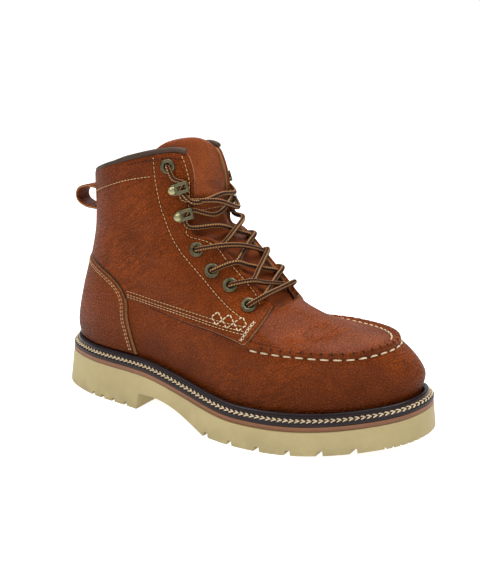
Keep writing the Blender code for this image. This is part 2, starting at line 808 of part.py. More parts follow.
def tongue_grid(columns):
    """Rows of points of the tongue's outer face, from under the vamp to its top edge."""
    depth = WALL + TONGUE_CLEARANCE
    rows = []
    for inset, centre_level in ((0.0165, 4.62), (0.0090, 4.82)):
        outer = [inner_point(s, i, depth) for s, i in ((5.10, inset), (5.55, inset))]
        middle = last_surface(TOE, centre_level)[0, 0] - last_normals(TOE, centre_level)[0, 0] * depth
        inner = [inner_point(MAX_STATION - s, i, depth) for s, i in ((5.55, inset), (5.10, inset))]
        rows.append(np.array(outer + [middle] + inner))
    for station, along, height in TONGUE:
        middle = np.array([along * SOLE_LENGTH, INSTEP_SHIFT * HALF_BALL,
                           bed(along * SOLE_LENGTH) + height * SHAFT_HEIGHT])
        outer = [inner_point(station, 0.011, depth), inner_point(station, 0.0015, depth)]
        inner = [inner_point(MAX_STATION - station, i, depth) for i in (0.0015, 0.011)]
        rows.append(np.array(outer + [middle] + inner))
    top = rows[-1] + (rows[-1] - rows[-2]) * np.array(TONGUE_TOP)[:, None]
    rows.append(top)
    rows = np.array(rows)
    across = np.linspace(0.0, 4.0, columns)
    return np.array([through(row, across) for row in rows])


def build_tongue(parts):
    grid = tongue_grid(9)
    fine = through(grid, np.linspace(0, len(grid) - 1, 16))
    item = new_object("tongue", grid_mesh(fine, False), parts, "leather_dark")
    solidify(item, TONGUE_THICKNESS)
    shade(item)
    return item, fine


def build_binding(parts):
    """Rolled edge that sits on the collar's rim from one front corner round the heel to the other."""
    outer = np.array([s for s in STATIONS if s <= 3.3], float)
    stations = np.concatenate([-outer[::-1][:-1], outer])
    stations = through(stations[:, None], np.linspace(0, len(stations) - 1, 31))[:, 0]
    rim = last_surface(stations, 5.0)[0]
    normals = last_normals(stations, 5.0)[0]
    rise = unit(rim - last_surface(stations, 4.9)[0])
    middle = (OVERLAY_GAP + QUARTER_THICKNESS - WALL) / 2
    path = rim + normals * middle + rise * (BINDING_RADIUS + 2 * GAP)
    return new_object("collar_binding", tube_mesh([path], BINDING_RADIUS, 2), parts, "binding")


def tube_mesh(paths, radius, resolution):
    """One body from round tubes along paths, joined where they cross."""
    tubes = []
    for path in paths:
        curve = bpy.data.curves.new("path", "CURVE")
        curve.dimensions = "3D"
        curve.bevel_depth = radius
        curve.bevel_resolution = resolution
        curve.use_fill_caps = True
        spline = curve.splines.new("POLY")
        spline.points.add(len(path) - 1)
        for point, place in zip(spline.points, path):
            point.co = (float(place[0]), float(place[1]), float(place[2]), 1.0)
        wire = bpy.data.objects.new("path", curve)
        bpy.context.scene.collection.objects.link(wire)
        mesh = applied_mesh(wire)
        form = bmesh.new()
        form.from_mesh(mesh)
        bmesh.ops.remove_doubles(form, verts=form.verts, dist=1e-6)
        bmesh.ops.recalc_face_normals(form, faces=form.faces)
        form.to_mesh(mesh)
        form.free()
        bpy.data.objects.remove(wire, do_unlink=True)
        tubes.append(new_object("tube", mesh, bpy.context.scene.collection))
    for other in tubes[1:]:
        boolean(tubes[0], other, "UNION")
    made = applied_mesh(tubes[0]) if len(tubes) > 1 else tubes[0].data
    for item in tubes:
        bpy.data.objects.remove(item, do_unlink=True)
    made.shade_smooth()
    return made


def build_lace(parts, tongue):
    """Two zigzags over the tongue, joined where they cross, that turn clear of the eyelets and hooks."""
    face = OVERLAY_GAP + QUARTER_THICKNESS
    clear = LACE_RADIUS + LACE_CLEARANCE
    crest = tongue[:, tongue.shape[1] // 2]

    def on_side(station, inner):
        return MAX_STATION - station if inner else station

    def turn(station, inner):
        return inner_point(on_side(station, inner), LACE_TURN, -(face + clear))

    def edge(station, inner):
        """Point just outside the eyestay's front corner."""
        where = on_side(station, inner)
        rim = last_surface(where, 5.0)[0, 0]
        normal = last_normals(where, 5.0)[0, 0]
        rise = unit(rim - last_surface(where, 4.9)[0, 0])
        return rim + normal * face + unit(normal + rise) * clear

    def over(first, second):
        """Point above the tongue's middle, half way between two edges."""
        half = (first + second) / 2
        near = int(np.clip(np.argmin(np.linalg.norm(crest - half, axis=1)), 1, len(crest) - 2))
        along = unit(crest[near + 1] - crest[near - 1])
        out = unit(np.array([along[2], 0.0, -along[0]]))
        lift = np.dot(crest[near] - half, out) + clear
        return half + out * max(lift, 0.0)

    paths = []
    for side in (False, True):
        points = [turn(LACE_TURNS[0], side)]
        for station, following in zip(LACE_TURNS, LACE_TURNS[1:]):
            leave = edge(station + (following - station) * LACE_SPREAD, side)
            arrive = edge(following - (following - station) * LACE_SPREAD, not side)
            side = not side
            points += [leave, over(leave, arrive), arrive, turn(following, side)]
        paths.append(through(np.array(points), np.linspace(0, len(points) - 1, 37)))
    return new_object("lace_crossings", tube_mesh(paths, LACE_RADIUS, 1), parts, "lace")


def build_loop(parts):
    """Leather strap folded to a loop that stands out behind the collar."""
    seat = OVERLAY_GAP + COUNTER_THICKNESS + GAP
    column = last_surface(0.0, np.linspace(4.0, 5.0, 41))[:, 0]
    half = LOOP_HEIGHT / 2
    middle = column[-1, 2] - LOOP_DROP - half
    back = np.interp([middle - half, middle + half], column[:, 2], column[:, 0]).min() - seat
    outline_rows = (
        # share of the reach behind the shaft, share of half the height
        (0.0, 1.00),
        (0.45, 1.02),
        (0.86, 0.62),
        (1.0, 0.0),
        (0.88, -0.52),
        (0.50, -0.92),
        (0.0, -1.00),
    )
    path = np.array([(back - LOOP_REACH * a, middle + half * b) for a, b in outline_rows])
    outer = through(path, np.linspace(0, len(path) - 1, 17))
    step = np.gradient(outer, axis=0)
    inward = unit(np.stack([-step[:, 1], step[:, 0]], 1))
    inner = outer + inward * LOOP_THICKNESS
    inner[0, 0] = inner[-1, 0] = back
    profile = np.concatenate([outer, inner[::-1]])
    return new_object("pull_loop", side_prism(profile, -LOOP_WIDTH / 2, LOOP_WIDTH / 2), parts, "leather")


def main():
    clear_scene()
    scene = bpy.context.scene
    parts = bpy.data.collections.new("moc_toe_boot")
    cutters = bpy.data.collections.new("cutters")
    for home in (parts, cutters):
        scene.collection.children.link(home)
    root = bpy.data.objects.new("root", None)
    parts.objects.link(root)
    holes = hole_cutters(cutters)
    build_soles(parts, cutters)
    build_welt(parts)
    build_upper(parts, cutters, holes)
    build_overlays(parts, cutters, holes)
    build_eyelets(parts)
    _, tongue = build_tongue(parts)
    build_binding(parts)
    build_lace(parts, tongue)
    build_loop(parts)
    plan = outline(np.arange(0.0, MAX_STATION, 0.05), 0.0)
    root.location = (-SOLE_LENGTH / 2, -(plan[:, 1].min() + plan[:, 1].max()) / 2, 0.0)
    for item in list(parts.objects) + list(cutters.objects):
        if item is not root:
            item.parent = root
    for item in cutters.objects:
        item.hide_render = True
        item.display_type = "WIRE"
    scene.view_layers[0].update()


main()
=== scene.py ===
# %% [markdown]
# # A moc toe work boot, dressed for a product picture
#
# The boot's rigid form is already settled and comes in as a frame of plain solids. This notebook lays the
# real surface over it: pebbled leather, a puckered moc seam, overlays with raw edges, rows of thread, a
# stitched storm welt, a cream rubber sole, aged brass and a flecked lace.
#
# Every length is in metres. +X points to the toe, +Y to the inner side, +Z up, and the floor is z = 0.

import math

import bmesh
import bpy
import numpy as np
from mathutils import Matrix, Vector
from mathutils.geometry import delaunay_2d_cdt
from mathutils.kdtree import KDTree


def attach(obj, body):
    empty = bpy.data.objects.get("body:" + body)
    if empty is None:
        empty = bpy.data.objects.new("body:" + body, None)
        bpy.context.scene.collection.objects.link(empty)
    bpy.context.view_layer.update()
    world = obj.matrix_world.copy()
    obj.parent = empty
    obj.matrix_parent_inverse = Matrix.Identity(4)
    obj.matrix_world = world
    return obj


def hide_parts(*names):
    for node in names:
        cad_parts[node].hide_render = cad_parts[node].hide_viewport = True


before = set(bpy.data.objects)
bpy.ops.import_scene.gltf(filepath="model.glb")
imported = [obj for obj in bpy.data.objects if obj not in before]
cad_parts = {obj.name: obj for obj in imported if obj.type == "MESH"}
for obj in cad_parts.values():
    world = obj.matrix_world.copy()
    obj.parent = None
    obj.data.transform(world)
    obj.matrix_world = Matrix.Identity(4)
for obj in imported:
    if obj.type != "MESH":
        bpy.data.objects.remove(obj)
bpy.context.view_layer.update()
print("nodes in the frame:", len(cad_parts))

# %% [markdown]
# ## The camera first
#
# A camera that matches the photograph makes every later step easy to judge. It stands about 0.7 m away,
# turned 31 degrees towards the toe and looking 16 degrees down. The long side of the picture is upright,
# so the lens belongs to the frame's height.

# %% Camera
AZIMUTH, ELEVATION = math.radians(31.29), math.radians(15.99)
DISTANCE = 0.69358
LENS, SENSOR = 58.02, 36.0
AIM = Vector((0.00306, 0.00542, 0.08816))

camera = bpy.data.objects.new("camera", bpy.data.cameras.new("camera"))
bpy.context.scene.collection.objects.link(camera)
camera.data.lens, camera.data.sensor_width = LENS, SENSOR
level_share = math.cos(ELEVATION)
back = Vector((math.sin(AZIMUTH) * level_share, -math.cos(AZIMUTH) * level_share, math.sin(ELEVATION)))
camera.location = AIM + back * DISTANCE
camera.rotation_mode = "QUATERNION"
camera.rotation_quaternion = back.to_track_quat("Z", "Y")
bpy.context.scene.camera = camera
print("camera at", [round(v, 3) for v in camera.location])

# %% [markdown]
# ## The sizes of the boot
#
# A last is described by a few lengths and by short tables of shares of them. With the same numbers as the
# frame, every visible piece lies where its solid is.

# %% Sizes
SOLE_LENGTH = 0.302
HALF_BALL = 0.056
SHAFT_HEIGHT = 0.165
SEAM_HEIGHT = 0.049
HEEL_HEIGHT = 0.0262
FOREFOOT_THICKNESS = 0.0154
TOE_SPRING = 0.0132
TOE_THICKENING = 0.0018
ARCH_CLEARANCE = 0.0125
SOLE_FLARE = 0.0034
MIDSOLE_THICKNESS = 0.0035
WELT_THICKNESS = 0.0042
WELT_LEDGE = 0.0085
WELT_SETBACK = 0.0004
RIB_HEIGHT = 0.0044
RIB_WIDTH = 0.0042
INSOLE_THICKNESS = 0.0040
INSOLE_CLEARANCE = 0.0014
LUG_DEPTH, LUG_REACH, LUG_WIDTH, HEEL_LUG_WIDTH = 0.0034, 0.0140, 0.0050, 0.0040
WALL = 0.0024
SWELL_HEIGHT, SWELL = 0.0200, 0.0012
OVERLAY_GAP = 0.0004
QUARTER_THICKNESS = 0.0014
COUNTER_THICKNESS = 0.0021
BACKSTAY_WIDTH = 0.018
BINDING_RADIUS = 0.0019
TONGUE_THICKNESS, TONGUE_CLEARANCE = 0.0032, 0.0014
EYELET_RADIUS, EYELET_BORE, EYELET_BARREL, EYELET_FLANGE = 0.0054, 0.0024, 0.0030, 0.0011
HOOK_LENGTH, HOOK_WIDTH, RIVET_RADIUS = 0.0105, 0.0078, 0.0042
LACE_RADIUS = 0.0021
LOOP_WIDTH, LOOP_THICKNESS, LOOP_REACH, LOOP_HEIGHT, LOOP_DROP = 0.015, 0.0022, 0.019, 0.028, 0.0065
GAP = 0.0003
TURN, TOE = 18.0, 9.0
RIM_LEVEL = 4.985
ALL_ROUND = np.linspace(0.0, TURN, 1441)

OUTLINE = (
    # station, along, outer, inner
    (0, 0.000, 0.020, 0.020), (1, 0.035, -0.335, 0.420), (2, 0.130, -0.600, 0.655),
    (3, 0.300, -0.730, 0.580), (4, 0.450, -0.885, 0.640), (5, 0.615, -1.050, 0.840),
    (6, 0.760, -0.935, 0.945), (7, 0.900, -0.590, 0.800), (8, 0.975, -0.265, 0.550),
    (9, 1.000, 0.145, 0.145),
)
SEAM_RING = (
    # station, along, outer, inner, height
    (0, 0.061, 0.030, 0.030, 1.02), (1, 0.080, -0.285, 0.345, 1.02), (2, 0.149, -0.515, 0.555, 1.02),
    (3, 0.305, -0.620, 0.560, 1.01), (4, 0.457, -0.725, 0.570, 0.98), (5, 0.629, -0.850, 0.680, 0.98),
    (6, 0.772, -0.820, 0.680, 0.98), (7, 0.866, -0.620, 0.530, 0.93), (8, 0.910, -0.280, 0.290, 0.90),
    (9, 0.922, 0.020, 0.020, 0.89),
)
INSTEP_RING = (
    # station, along, outer, inner, height
    (0, 0.098, 0.018, 0.018, 0.578), (1, 0.118, -0.240, 0.265, 0.583), (2, 0.188, -0.510, 0.510, 0.600),
    (3, 0.334, -0.620, 0.540, 0.612), (4, 0.454, -0.640, 0.490, 0.505), (5, 0.613, -0.670, 0.490, 0.394),
    (6, 0.735, -0.545, 0.410, 0.338), (7, 0.798, -0.330, 0.255, 0.334), (8, 0.825, -0.150, 0.105, 0.330),
    (9, 0.832, -0.020, -0.020, 0.328),
)
RIM_RING = (
    # station, along, outer, inner, height
    (0.00, 0.109, 0.009, 0.009, 0.852), (1.00, 0.127, -0.250, 0.260, 0.862),
    (2.00, 0.199, -0.530, 0.495, 0.905), (2.60, 0.281, -0.600, 0.525, 0.948),
    (3.00, 0.351, -0.575, 0.470, 0.984), (3.20, 0.394, -0.495, 0.375, 1.004),
    (3.30, 0.419, -0.440, 0.320, 1.002), (3.37, 0.432, -0.440, 0.310, 0.970),
    (3.46, 0.443, -0.465, 0.325, 0.900), (3.56, 0.445, -0.485, 0.340, 0.815),
    (3.65, 0.443, -0.500, 0.350, 0.736), (3.71, 0.443, -0.510, 0.355, 0.692),
    (3.76, 0.454, -0.500, 0.345, 0.675), (3.84, 0.483, -0.475, 0.325, 0.678),
    (3.93, 0.503, -0.455, 0.310, 0.664), (4.20, 0.540, -0.437, 0.290, 0.615),
    (4.60, 0.583, -0.420, 0.275, 0.547), (5.00, 0.619, -0.402, 0.260, 0.484),
    (5.30, 0.637, -0.380, 0.245, 0.449), (5.60, 0.649, -0.320, 0.200, 0.434),
    (6.20, 0.656, -0.214, 0.110, 0.431), (9.00, 0.660, -0.050, -0.050, 0.432),
)
HOLDERS = (
    # name, along, height, kind
    ("1", 0.6030, 0.442, "eyelet"), ("2", 0.5520, 0.508, "eyelet"), ("3", 0.5045, 0.548, "eyelet"),
    ("4", 0.4610, 0.617, "eyelet"), ("lower", 0.4145, 0.735, "hook"), ("upper", 0.3965, 0.840, "hook"),
    ("5", 0.3810, 0.937, "eyelet"),
)
print("tables ready: sole", SOLE_LENGTH, "m, shaft", SHAFT_HEIGHT, "m")

# %% [markdown]
# ## The last as a function of two numbers
#
# A shoemaker wraps flat leather round a last. Here the last is a function: the *station* runs round the
# boot from the heel (0) along the outer side to the toe (9) and back (18), and the *level* runs from the
# feather line at the welt (0) to the rim (5). Each panel, stitch and crease is then placed in these two
# numbers and bends with the boot by itself, which no flat modelling could do.

# %% Smooth curves through a few points


def hermite(a, b, c, d, part):
    """Centripetal curve between b and c, with a before and d after them."""
    def span(p, q):
        return np.maximum(np.sqrt(np.linalg.norm(q - p, axis=-1, keepdims=True)), 1e-5)
    ab, bc, cd = span(a, b), span(b, c), span(c, d)
    leave = (c - b) + bc * ((b - a) / ab - (c - a) / (ab + bc))
    arrive = (c - b) + bc * ((d - c) / cd - (d - b) / (bc + cd))
    square, cube = part ** 2, part ** 3
    return ((2 * cube - 3 * square + 1) * b + (cube - 2 * square + part) * leave
            + (3 * square - 2 * cube) * c + (cube - square) * arrive)


def padded_rows(points, closed):
    if closed:
        return np.concatenate([points[-1:], points, points[:2]])
    return np.concatenate([2 * points[:1] - points[1:2], points, 2 * points[-1:] - points[-2:-1]])


def through(points, where, closed=False):
    """Points at the fractional rows `where` of a smooth curve through the rows of `points`."""
    points = np.asarray(points, float)
    where = np.atleast_1d(np.asarray(where, float))
    where = np.mod(where, len(points)) if closed else where
    start = np.clip(np.floor(where).astype(int), 0, len(points) - (1 if closed else 2))
    rows = padded_rows(points, closed)
    part = (where - start).reshape((-1,) + (1,) * (points.ndim - 1))
    return hermite(rows[start], rows[start + 1], rows[start + 2], rows[start + 3], part)


def smooth_step(value):
    value = np.clip(value, 0.0, 1.0)
    return value * value * (3.0 - 2.0 * value)


def unit(vectors):
    return vectors / np.maximum(np.linalg.norm(vectors, axis=-1, keepdims=True), 1e-12)


def run_along(points):
    """How far along a polyline each of its points lies."""
    return np.concatenate([[0.0], np.cumsum(np.linalg.norm(np.diff(points, axis=0), axis=1))])


def read_along(where, run, rows):
    """Rows of values read off at the lengths `where` of a line."""
    return np.stack([np.interp(where, run, column) for column in rows.T], 1)


def full_turn(count):
    """Angles that share out one turn evenly."""
    return np.linspace(0.0, 2 * math.pi, count, endpoint=False)


# %% The sole's bed and outline


def toe_rise(along):
    return TOE_SPRING * np.clip((np.asarray(along) / SOLE_LENGTH - 0.68) / 0.32, 0.0, None) ** 2


def sole_bottom(along):
    return toe_rise(along) * (1.0 - TOE_THICKENING / TOE_SPRING)


def sole_top(along):
    fall = smooth_step((np.asarray(along) / SOLE_LENGTH - 0.30) / 0.32)
    return HEEL_HEIGHT + (FOREFOOT_THICKNESS - HEEL_HEIGHT) * fall + toe_rise(along)


def bed(along):
    return sole_top(along) + MIDSOLE_THICKNESS


def ring_at(table, station, rise=None):
    """Points of one ring of the last at the stations; `rise` is the size its heights are shares of."""
    outer = [(row[0], row[1], row[2]) + tuple(row[4:]) for row in table]
    inner = [(TURN - row[0], row[1], row[3]) + tuple(row[4:]) for row in table]
    rows = np.array(outer + inner[::-1][1:-1], float)
    knots = np.append(rows[:, 0], TURN)
    along, across = rows[:, 1] * SOLE_LENGTH, rows[:, 2] * HALF_BALL
    points = [along, across] if rise is None else [along, across, bed(along) + rows[:, 3] * rise]
    where = np.interp(np.mod(station, TURN), knots, np.arange(len(knots)))
    return through(np.stack(points, 1), where, closed=True)


def outline(station, inset):
    """Plan of the sole's edge at the stations, moved inwards by `inset`."""
    station = np.atleast_1d(np.asarray(station, float))
    tangent = ring_at(OUTLINE, station + 0.02) - ring_at(OUTLINE, station - 0.02)
    normal = unit(np.stack([tangent[:, 1], -tangent[:, 0]], 1))
    return ring_at(OUTLINE, station) - normal * np.broadcast_to(inset, station.shape)[:, None]


plan = outline(np.arange(0.0, TURN, 0.05), 0.0)
SHIFT = np.array([-SOLE_LENGTH / 2, -(plan[:, 1].min() + plan[:, 1].max()) / 2, 0.0])
print("sole", np.round(np.ptp(plan, axis=0), 4), "m")

# %% The upper's smooth surface


def rings(station):
    feather, swell = outline(station, WELT_LEDGE), outline(station, WELT_LEDGE - SWELL)
    low = np.column_stack([feather, bed(feather[:, 0]) + GAP])
    rib = np.column_stack([feather, bed(feather[:, 0]) + WELT_THICKNESS + RIB_HEIGHT])
    bulge = np.column_stack([swell, bed(swell[:, 0]) + SWELL_HEIGHT])
    return np.stack([low, rib, bulge, ring_at(SEAM_RING, station, SEAM_HEIGHT),
                     ring_at(INSTEP_RING, station, SHAFT_HEIGHT), ring_at(RIM_RING, station, SHAFT_HEIGHT)])


def last(station, level):
    """One point of the last for each pair of station and level."""
    station, level = np.broadcast_arrays(np.atleast_1d(np.asarray(station, float)), np.asarray(level, float))
    rows = padded_rows(rings(station), False)
    start = np.clip(np.floor(level).astype(int), 0, 4)
    each = np.arange(len(station))
    a, b, c, d = (rows[start + k, each] for k in range(4))
    return hermite(a, b, c, d, (level - start)[:, None]) + SHIFT


def last_axes(station, level):
    """Steps of the surface for one unit of station and of level, and the outward normal."""
    step = 0.03
    station, level = np.broadcast_arrays(np.atleast_1d(np.asarray(station, float)), np.asarray(level, float))
    above, below = np.minimum(level + step, 5.0), np.maximum(level - step, 0.0)
    up = (last(station, above) - last(station, below)) / (above - below)[:, None]
    on = (last(station + step, level) - last(station - step, level)) / (2 * step)
    return on, up, unit(np.cross(on, up))


CREASES = (
    # from station, level, to station, level, half width, depth
    (4.55, 2.05, 5.35, 2.75, 0.0032, 0.00045),
    (4.85, 1.65, 5.75, 2.45, 0.0036, 0.00050),
    (5.25, 1.45, 6.05, 2.10, 0.0030, 0.00030),
    (3.30, 2.20, 4.25, 2.70, 0.0042, 0.00035),
    (2.90, 3.55, 3.75, 3.95, 0.0050, 0.00045),
    (2.60, 4.05, 3.45, 4.25, 0.0060, 0.00040),
    (0.80, 3.95, 2.10, 4.05, 0.0065, 0.00035),
    (6.30, 4.30, 9.00, 4.62, 0.0045, 0.00035),
    (7.00, 3.95, 9.00, 4.20, 0.0050, 0.00022),
)
RIDGE_FADE = (4.7, 5.3)


def relief(points):
    """Soft troughs with low banks where the leather flexes, and a slow unevenness everywhere."""
    x, y, z = points.T
    slow = np.sin(96 * x + 41 * z + 0.7) * np.sin(83 * z - 37 * y) + np.sin(61 * y + 120 * z + 52 * x)
    total = 0.00012 * slow
    for s0, l0, s1, l1, width, depth in CREASES:
        for mirror in (False, True):
            ends = last(np.array([TURN - s0, TURN - s1] if mirror else [s0, s1]), np.array([l0, l1]))
            run = ends[1] - ends[0]
            share = np.clip((points - ends[0]) @ run / (run @ run), 0.0, 1.0)
            away = np.linalg.norm(points - ends[0] - share[:, None] * run, axis=1) / width
            ends_off = np.sin(np.pi * np.clip(share, 0.02, 0.98)) ** 0.6
            banks = 0.45 * np.exp(-((away - 1.9) / 0.8) ** 2)
            total = total + depth * ends_off * (banks - np.exp(-away ** 2))
    return total


RIDGE_LEVEL, STITCH_LEVEL = 3.12, 2.985
PUCKER = 0.0070


def gathers(station):
    """Share of the ridge's height: it dips where each gathering thread pulls it in."""
    run = run_along(ring_at(SEAM_RING, ALL_ROUND))
    wave = 0.5 + 0.5 * np.cos(2 * math.pi * np.interp(np.mod(station, TURN), ALL_ROUND, run) / PUCKER)
    return 1.0 - 0.24 * wave ** 4


def moc_profile(level, station):
    """Height of the rolled moc seam over the last: a round ridge with a groove for the thread beside it."""
    away = (level - RIDGE_LEVEL) / np.where(level > RIDGE_LEVEL, 0.075, 0.095)
    groove = np.exp(-((level - STITCH_LEVEL + 0.012) / 0.022) ** 2)
    inside = np.exp(-((level - RIDGE_LEVEL - 0.15) / 0.05) ** 2)
    return np.exp(-np.abs(away) ** 2.6) * gathers(station) - 0.16 * groove - 0.14 * inside


def skin(station, level, lift=0.0, ridge=0.0036):
    """Points of the leather's face, `lift` above the last, with its creases and the raised moc seam."""
    station, level = np.broadcast_arrays(np.atleast_1d(np.asarray(station, float)), np.asarray(level, float))
    points = last(station, level)
    side = np.minimum(np.mod(station, TURN), TURN - np.mod(station, TURN))
    fade = smooth_step((side - RIDGE_FADE[0]) / (RIDGE_FADE[1] - RIDGE_FADE[0]))
    rise = lift + relief(points) + ridge * moc_profile(level, station) * fade
    return points + last_axes(station, level)[2] * np.asarray(rise)[:, None]


def to_last(points, inner=False):
    """Stations and levels under side-view points (distance from the heel's back, height)."""
    goal = np.array(points, float) + np.array([SHIFT[0], 0.0])
    stations = np.linspace(0.9, 6.4, 111)
    stations = TURN - stations if inner else stations
    levels = np.linspace(0.6, 5.0, 89)
    s, l = (grid.ravel() for grid in np.meshgrid(stations, levels))
    cloud = last(s, l)[:, [0, 2]]
    near = np.array([np.argmin(((cloud - g) ** 2).sum(1)) for g in goal])
    spot = np.stack([s[near], l[near]], 1)
    for _ in range(7):
        here = last(spot[:, 0], spot[:, 1])[:, [0, 2]]
        on, up, _normal = last_axes(spot[:, 0], spot[:, 1])
        matrix = np.stack([on[:, [0, 2]], up[:, [0, 2]]], 2)
        determinant = np.linalg.det(matrix)
        matrix[np.abs(determinant) < 1e-6] += np.eye(2) * 0.01
        move = np.linalg.solve(matrix, (goal - here)[:, :, None])[:, :, 0]
        spot = spot + np.clip(move, -0.15, 0.15)
        spot[:, 1] = np.clip(spot[:, 1], 0.3, 5.0)
    return spot


def level_at(station, height):
    """Level where the last passes a height at each station."""
    levels = np.linspace(1.0, 5.0, 81)
    columns = [last(np.full(len(levels), s), levels)[:, 2] for s in station]
    return np.array([np.interp(h, column, levels) for h, column in zip(height, columns)])


print("rim of the collar at the heel:", np.round(last(0.0, 5.0)[0], 4))

# %% [markdown]
# ## Helpers that turn points into pieces
#
# Blender objects need vertices and faces. A grid of points makes a sheet, and a ring swept round or along
# a path makes a tube. Small repeats, such as threads, are stamped from one template with numpy and joined,
# because thousands of separate objects would be slow.

# %% Meshes from grids


def add_object(name, vertices, faces, materials, smooth=True):
    mesh = bpy.data.meshes.new(name)
    faces = faces if isinstance(faces, list) else faces.tolist()
    mesh.from_pydata(np.asarray(vertices, float).tolist(), [], faces)
    mesh.validate()
    if smooth:
        mesh.shade_smooth()
    for material in materials:
        mesh.materials.append(material)
    item = bpy.data.objects.new(name, mesh)
    bpy.context.scene.collection.objects.link(item)
    return item


def grid_faces(rows, columns, wrap_rows=False, wrap_columns=False):
    r = np.arange(rows if wrap_rows else rows - 1)[:, None]
    c = np.arange(columns if wrap_columns else columns - 1)[None, :]
    this, after, beside = r * columns, (r + 1) % rows * columns, (c + 1) % columns
    return np.stack([this + c, this + beside, after + beside, after + c], 2).reshape(-1, 4)


def set_value(item, name, values):
    layer = item.data.attributes.new(name, "FLOAT", "POINT")
    layer.data.foreach_set("value", np.asarray(values, np.float32))


def set_slots(item, slots):
    item.data.polygons.foreach_set("material_index", np.asarray(slots, np.int32))


def face_outwards(item):
    """Turn all faces of closed bodies outwards."""
    form = bmesh.new()
    form.from_mesh(item.data)
    bmesh.ops.recalc_face_normals(form, faces=form.faces)
    form.to_mesh(item.data)
    form.free()


def finish_piece(item, slot, *nodes):
    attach(item, "root")
    if nodes:
        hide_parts(*nodes)
    return item


def even_stations(level, spacing, first=0.0, last_station=TURN):
    """Stations that lie evenly along the boot at one level."""
    fine = np.linspace(first, last_station, 1201)
    run = run_along(last(fine, level))
    return np.interp(np.linspace(0.0, run[-1], int(run[-1] / spacing) + 1), run, fine)


def resample(points, spacing):
    """The same polyline with a point every `spacing`."""
    points = np.asarray(points, float)
    run = run_along(points)
    count = max(int(round(run[-1] / spacing)), 2)
    return read_along(np.linspace(0.0, run[-1], count + 1), run, points)


# %% Tubes with a twist-free frame


def tube(name, path, radius, sides, material):
    """Round cord along a path, with its length and its angle stored for the material."""
    path = np.asarray(path, float)
    count = len(path)
    radius = np.broadcast_to(radius, (count,))
    tangent = unit(np.gradient(path, axis=0))
    across = np.zeros_like(path)
    first = np.cross(tangent[0], [0.0, 0.0, 1.0])
    across[0] = unit(first if np.linalg.norm(first) > 1e-6 else np.array([1.0, 0.0, 0.0]))
    for k in range(1, count):
        across[k] = unit(across[k - 1] - tangent[k] * np.dot(across[k - 1], tangent[k]))
    other = np.cross(tangent, across)
    angle = full_turn(sides)
    ring = across[:, None] * np.cos(angle)[None, :, None] + other[:, None] * np.sin(angle)[None, :, None]
    grid = path[:, None] + ring * radius[:, None, None]
    faces = grid_faces(count, sides, wrap_columns=True)[:, ::-1].tolist()
    faces += [tuple(range(sides)), tuple(range((count - 1) * sides, count * sides))[::-1]]
    item = add_object(name, grid.reshape(-1, 3), faces, [material])
    set_value(item, "length", np.repeat(run_along(path), sides))
    set_value(item, "turn_sin", np.tile(np.sin(angle), count))
    set_value(item, "turn_cos", np.tile(np.cos(angle), count))
    return item


# %% Threads


# Rings of one thread, as shares of its length and radius, and its closing faces
THREAD_SHARES = np.array([0.0, 0.1, 0.28, 0.5, 0.72, 0.9, 1.0])
THREAD_THICKNESS = np.array([0.55, 0.85, 1.0, 1.04, 1.0, 0.85, 0.55])
THREAD_RISE = np.array([-0.9, 0.05, 0.62, 0.74, 0.62, 0.05, -0.9])
THREAD_SIDES = 6
THREAD_ENDS = [[0, 1, 2, 3], [0, 3, 4, 5], [39, 38, 37, 36], [41, 40, 39, 36]]
THREAD_STEP = 0.0004


def thread_stamps(points, normals, pitch, length, radius, slant=0.0, offset=0.0):
    """Vertices and faces of short threads along a line on a surface, each dipping in at both ends."""
    line = resample(np.column_stack([points, normals]), THREAD_STEP)
    places, normals = line[:, :3], unit(line[:, 3:])
    run = run_along(places)
    count = max(int(run[-1] / pitch), 1)
    middles = (np.arange(count) + 0.5) * (run[-1] / count)
    normal = unit(read_along(middles, run, normals))
    tail, tip = (read_along(middles + end * length / 2, run, places) for end in (-1, 1))
    ahead = unit(tip - tail)
    side = unit(np.cross(normal, ahead))
    heading = unit(ahead * math.cos(slant) + side * math.sin(slant))
    beside = unit(np.cross(normal, heading))
    steps = (THREAD_SHARES - 0.5) * length
    # Each ring reads its own place on the line, so a long thread follows the surface
    spots = middles[:, None] + steps[None, :] * math.cos(slant)
    base = read_along(spots.ravel(), run, places).reshape(count, len(steps), 3)
    base = base + side[:, None] * (steps * math.sin(slant) + offset)[None, :, None]
    base = base + normal[:, None] * (THREAD_RISE * radius)[None, :, None]
    turn = full_turn(THREAD_SIDES)[None, None, :, None]
    ring = beside[:, None, None] * np.cos(turn) + normal[:, None, None] * np.sin(turn)
    vertices = base[:, :, None] + ring * (radius * THREAD_THICKNESS)[None, :, None, None]
    one = np.vstack([grid_faces(len(steps), THREAD_SIDES, wrap_columns=True)[:, ::-1], THREAD_ENDS])
    firsts = np.arange(count) * len(steps) * THREAD_SIDES
    return vertices.reshape(-1, 3), (one[None] + firsts[:, None, None]).reshape(-1, 4)


def sew(name, rows, material):
    """One object from many rows of threads."""
    vertices, faces, count = [], [], 0
    for row in rows:
        made, cells = thread_stamps(**row)
        vertices.append(made)
        faces.append(cells + count)
        count += len(made)
    return add_object(name, np.concatenate(vertices), np.concatenate(faces), [material])


def thread_row(spots, lift, **thread):
    """A row of threads along stations and levels, on leather `lift` above the last."""
    spots = np.asarray(spots, float)
    return dict(points=skin(*spots.T, lift), normals=last_axes(*spots.T)[2], **thread)


print("helpers ready")

# %% [markdown]
# ## Shared shader effects
#
# Leather, thread, rubber and brass share a few effects: a pebbled grain, a slow change of tone, a band beside
# edges and seams, and fine wrinkles. Each effect is one node group with named sockets, so it can be tuned in
# every material by its own values. The groups hand out only values and colours; the shader itself stays in
# the material.

# %% Node group helpers


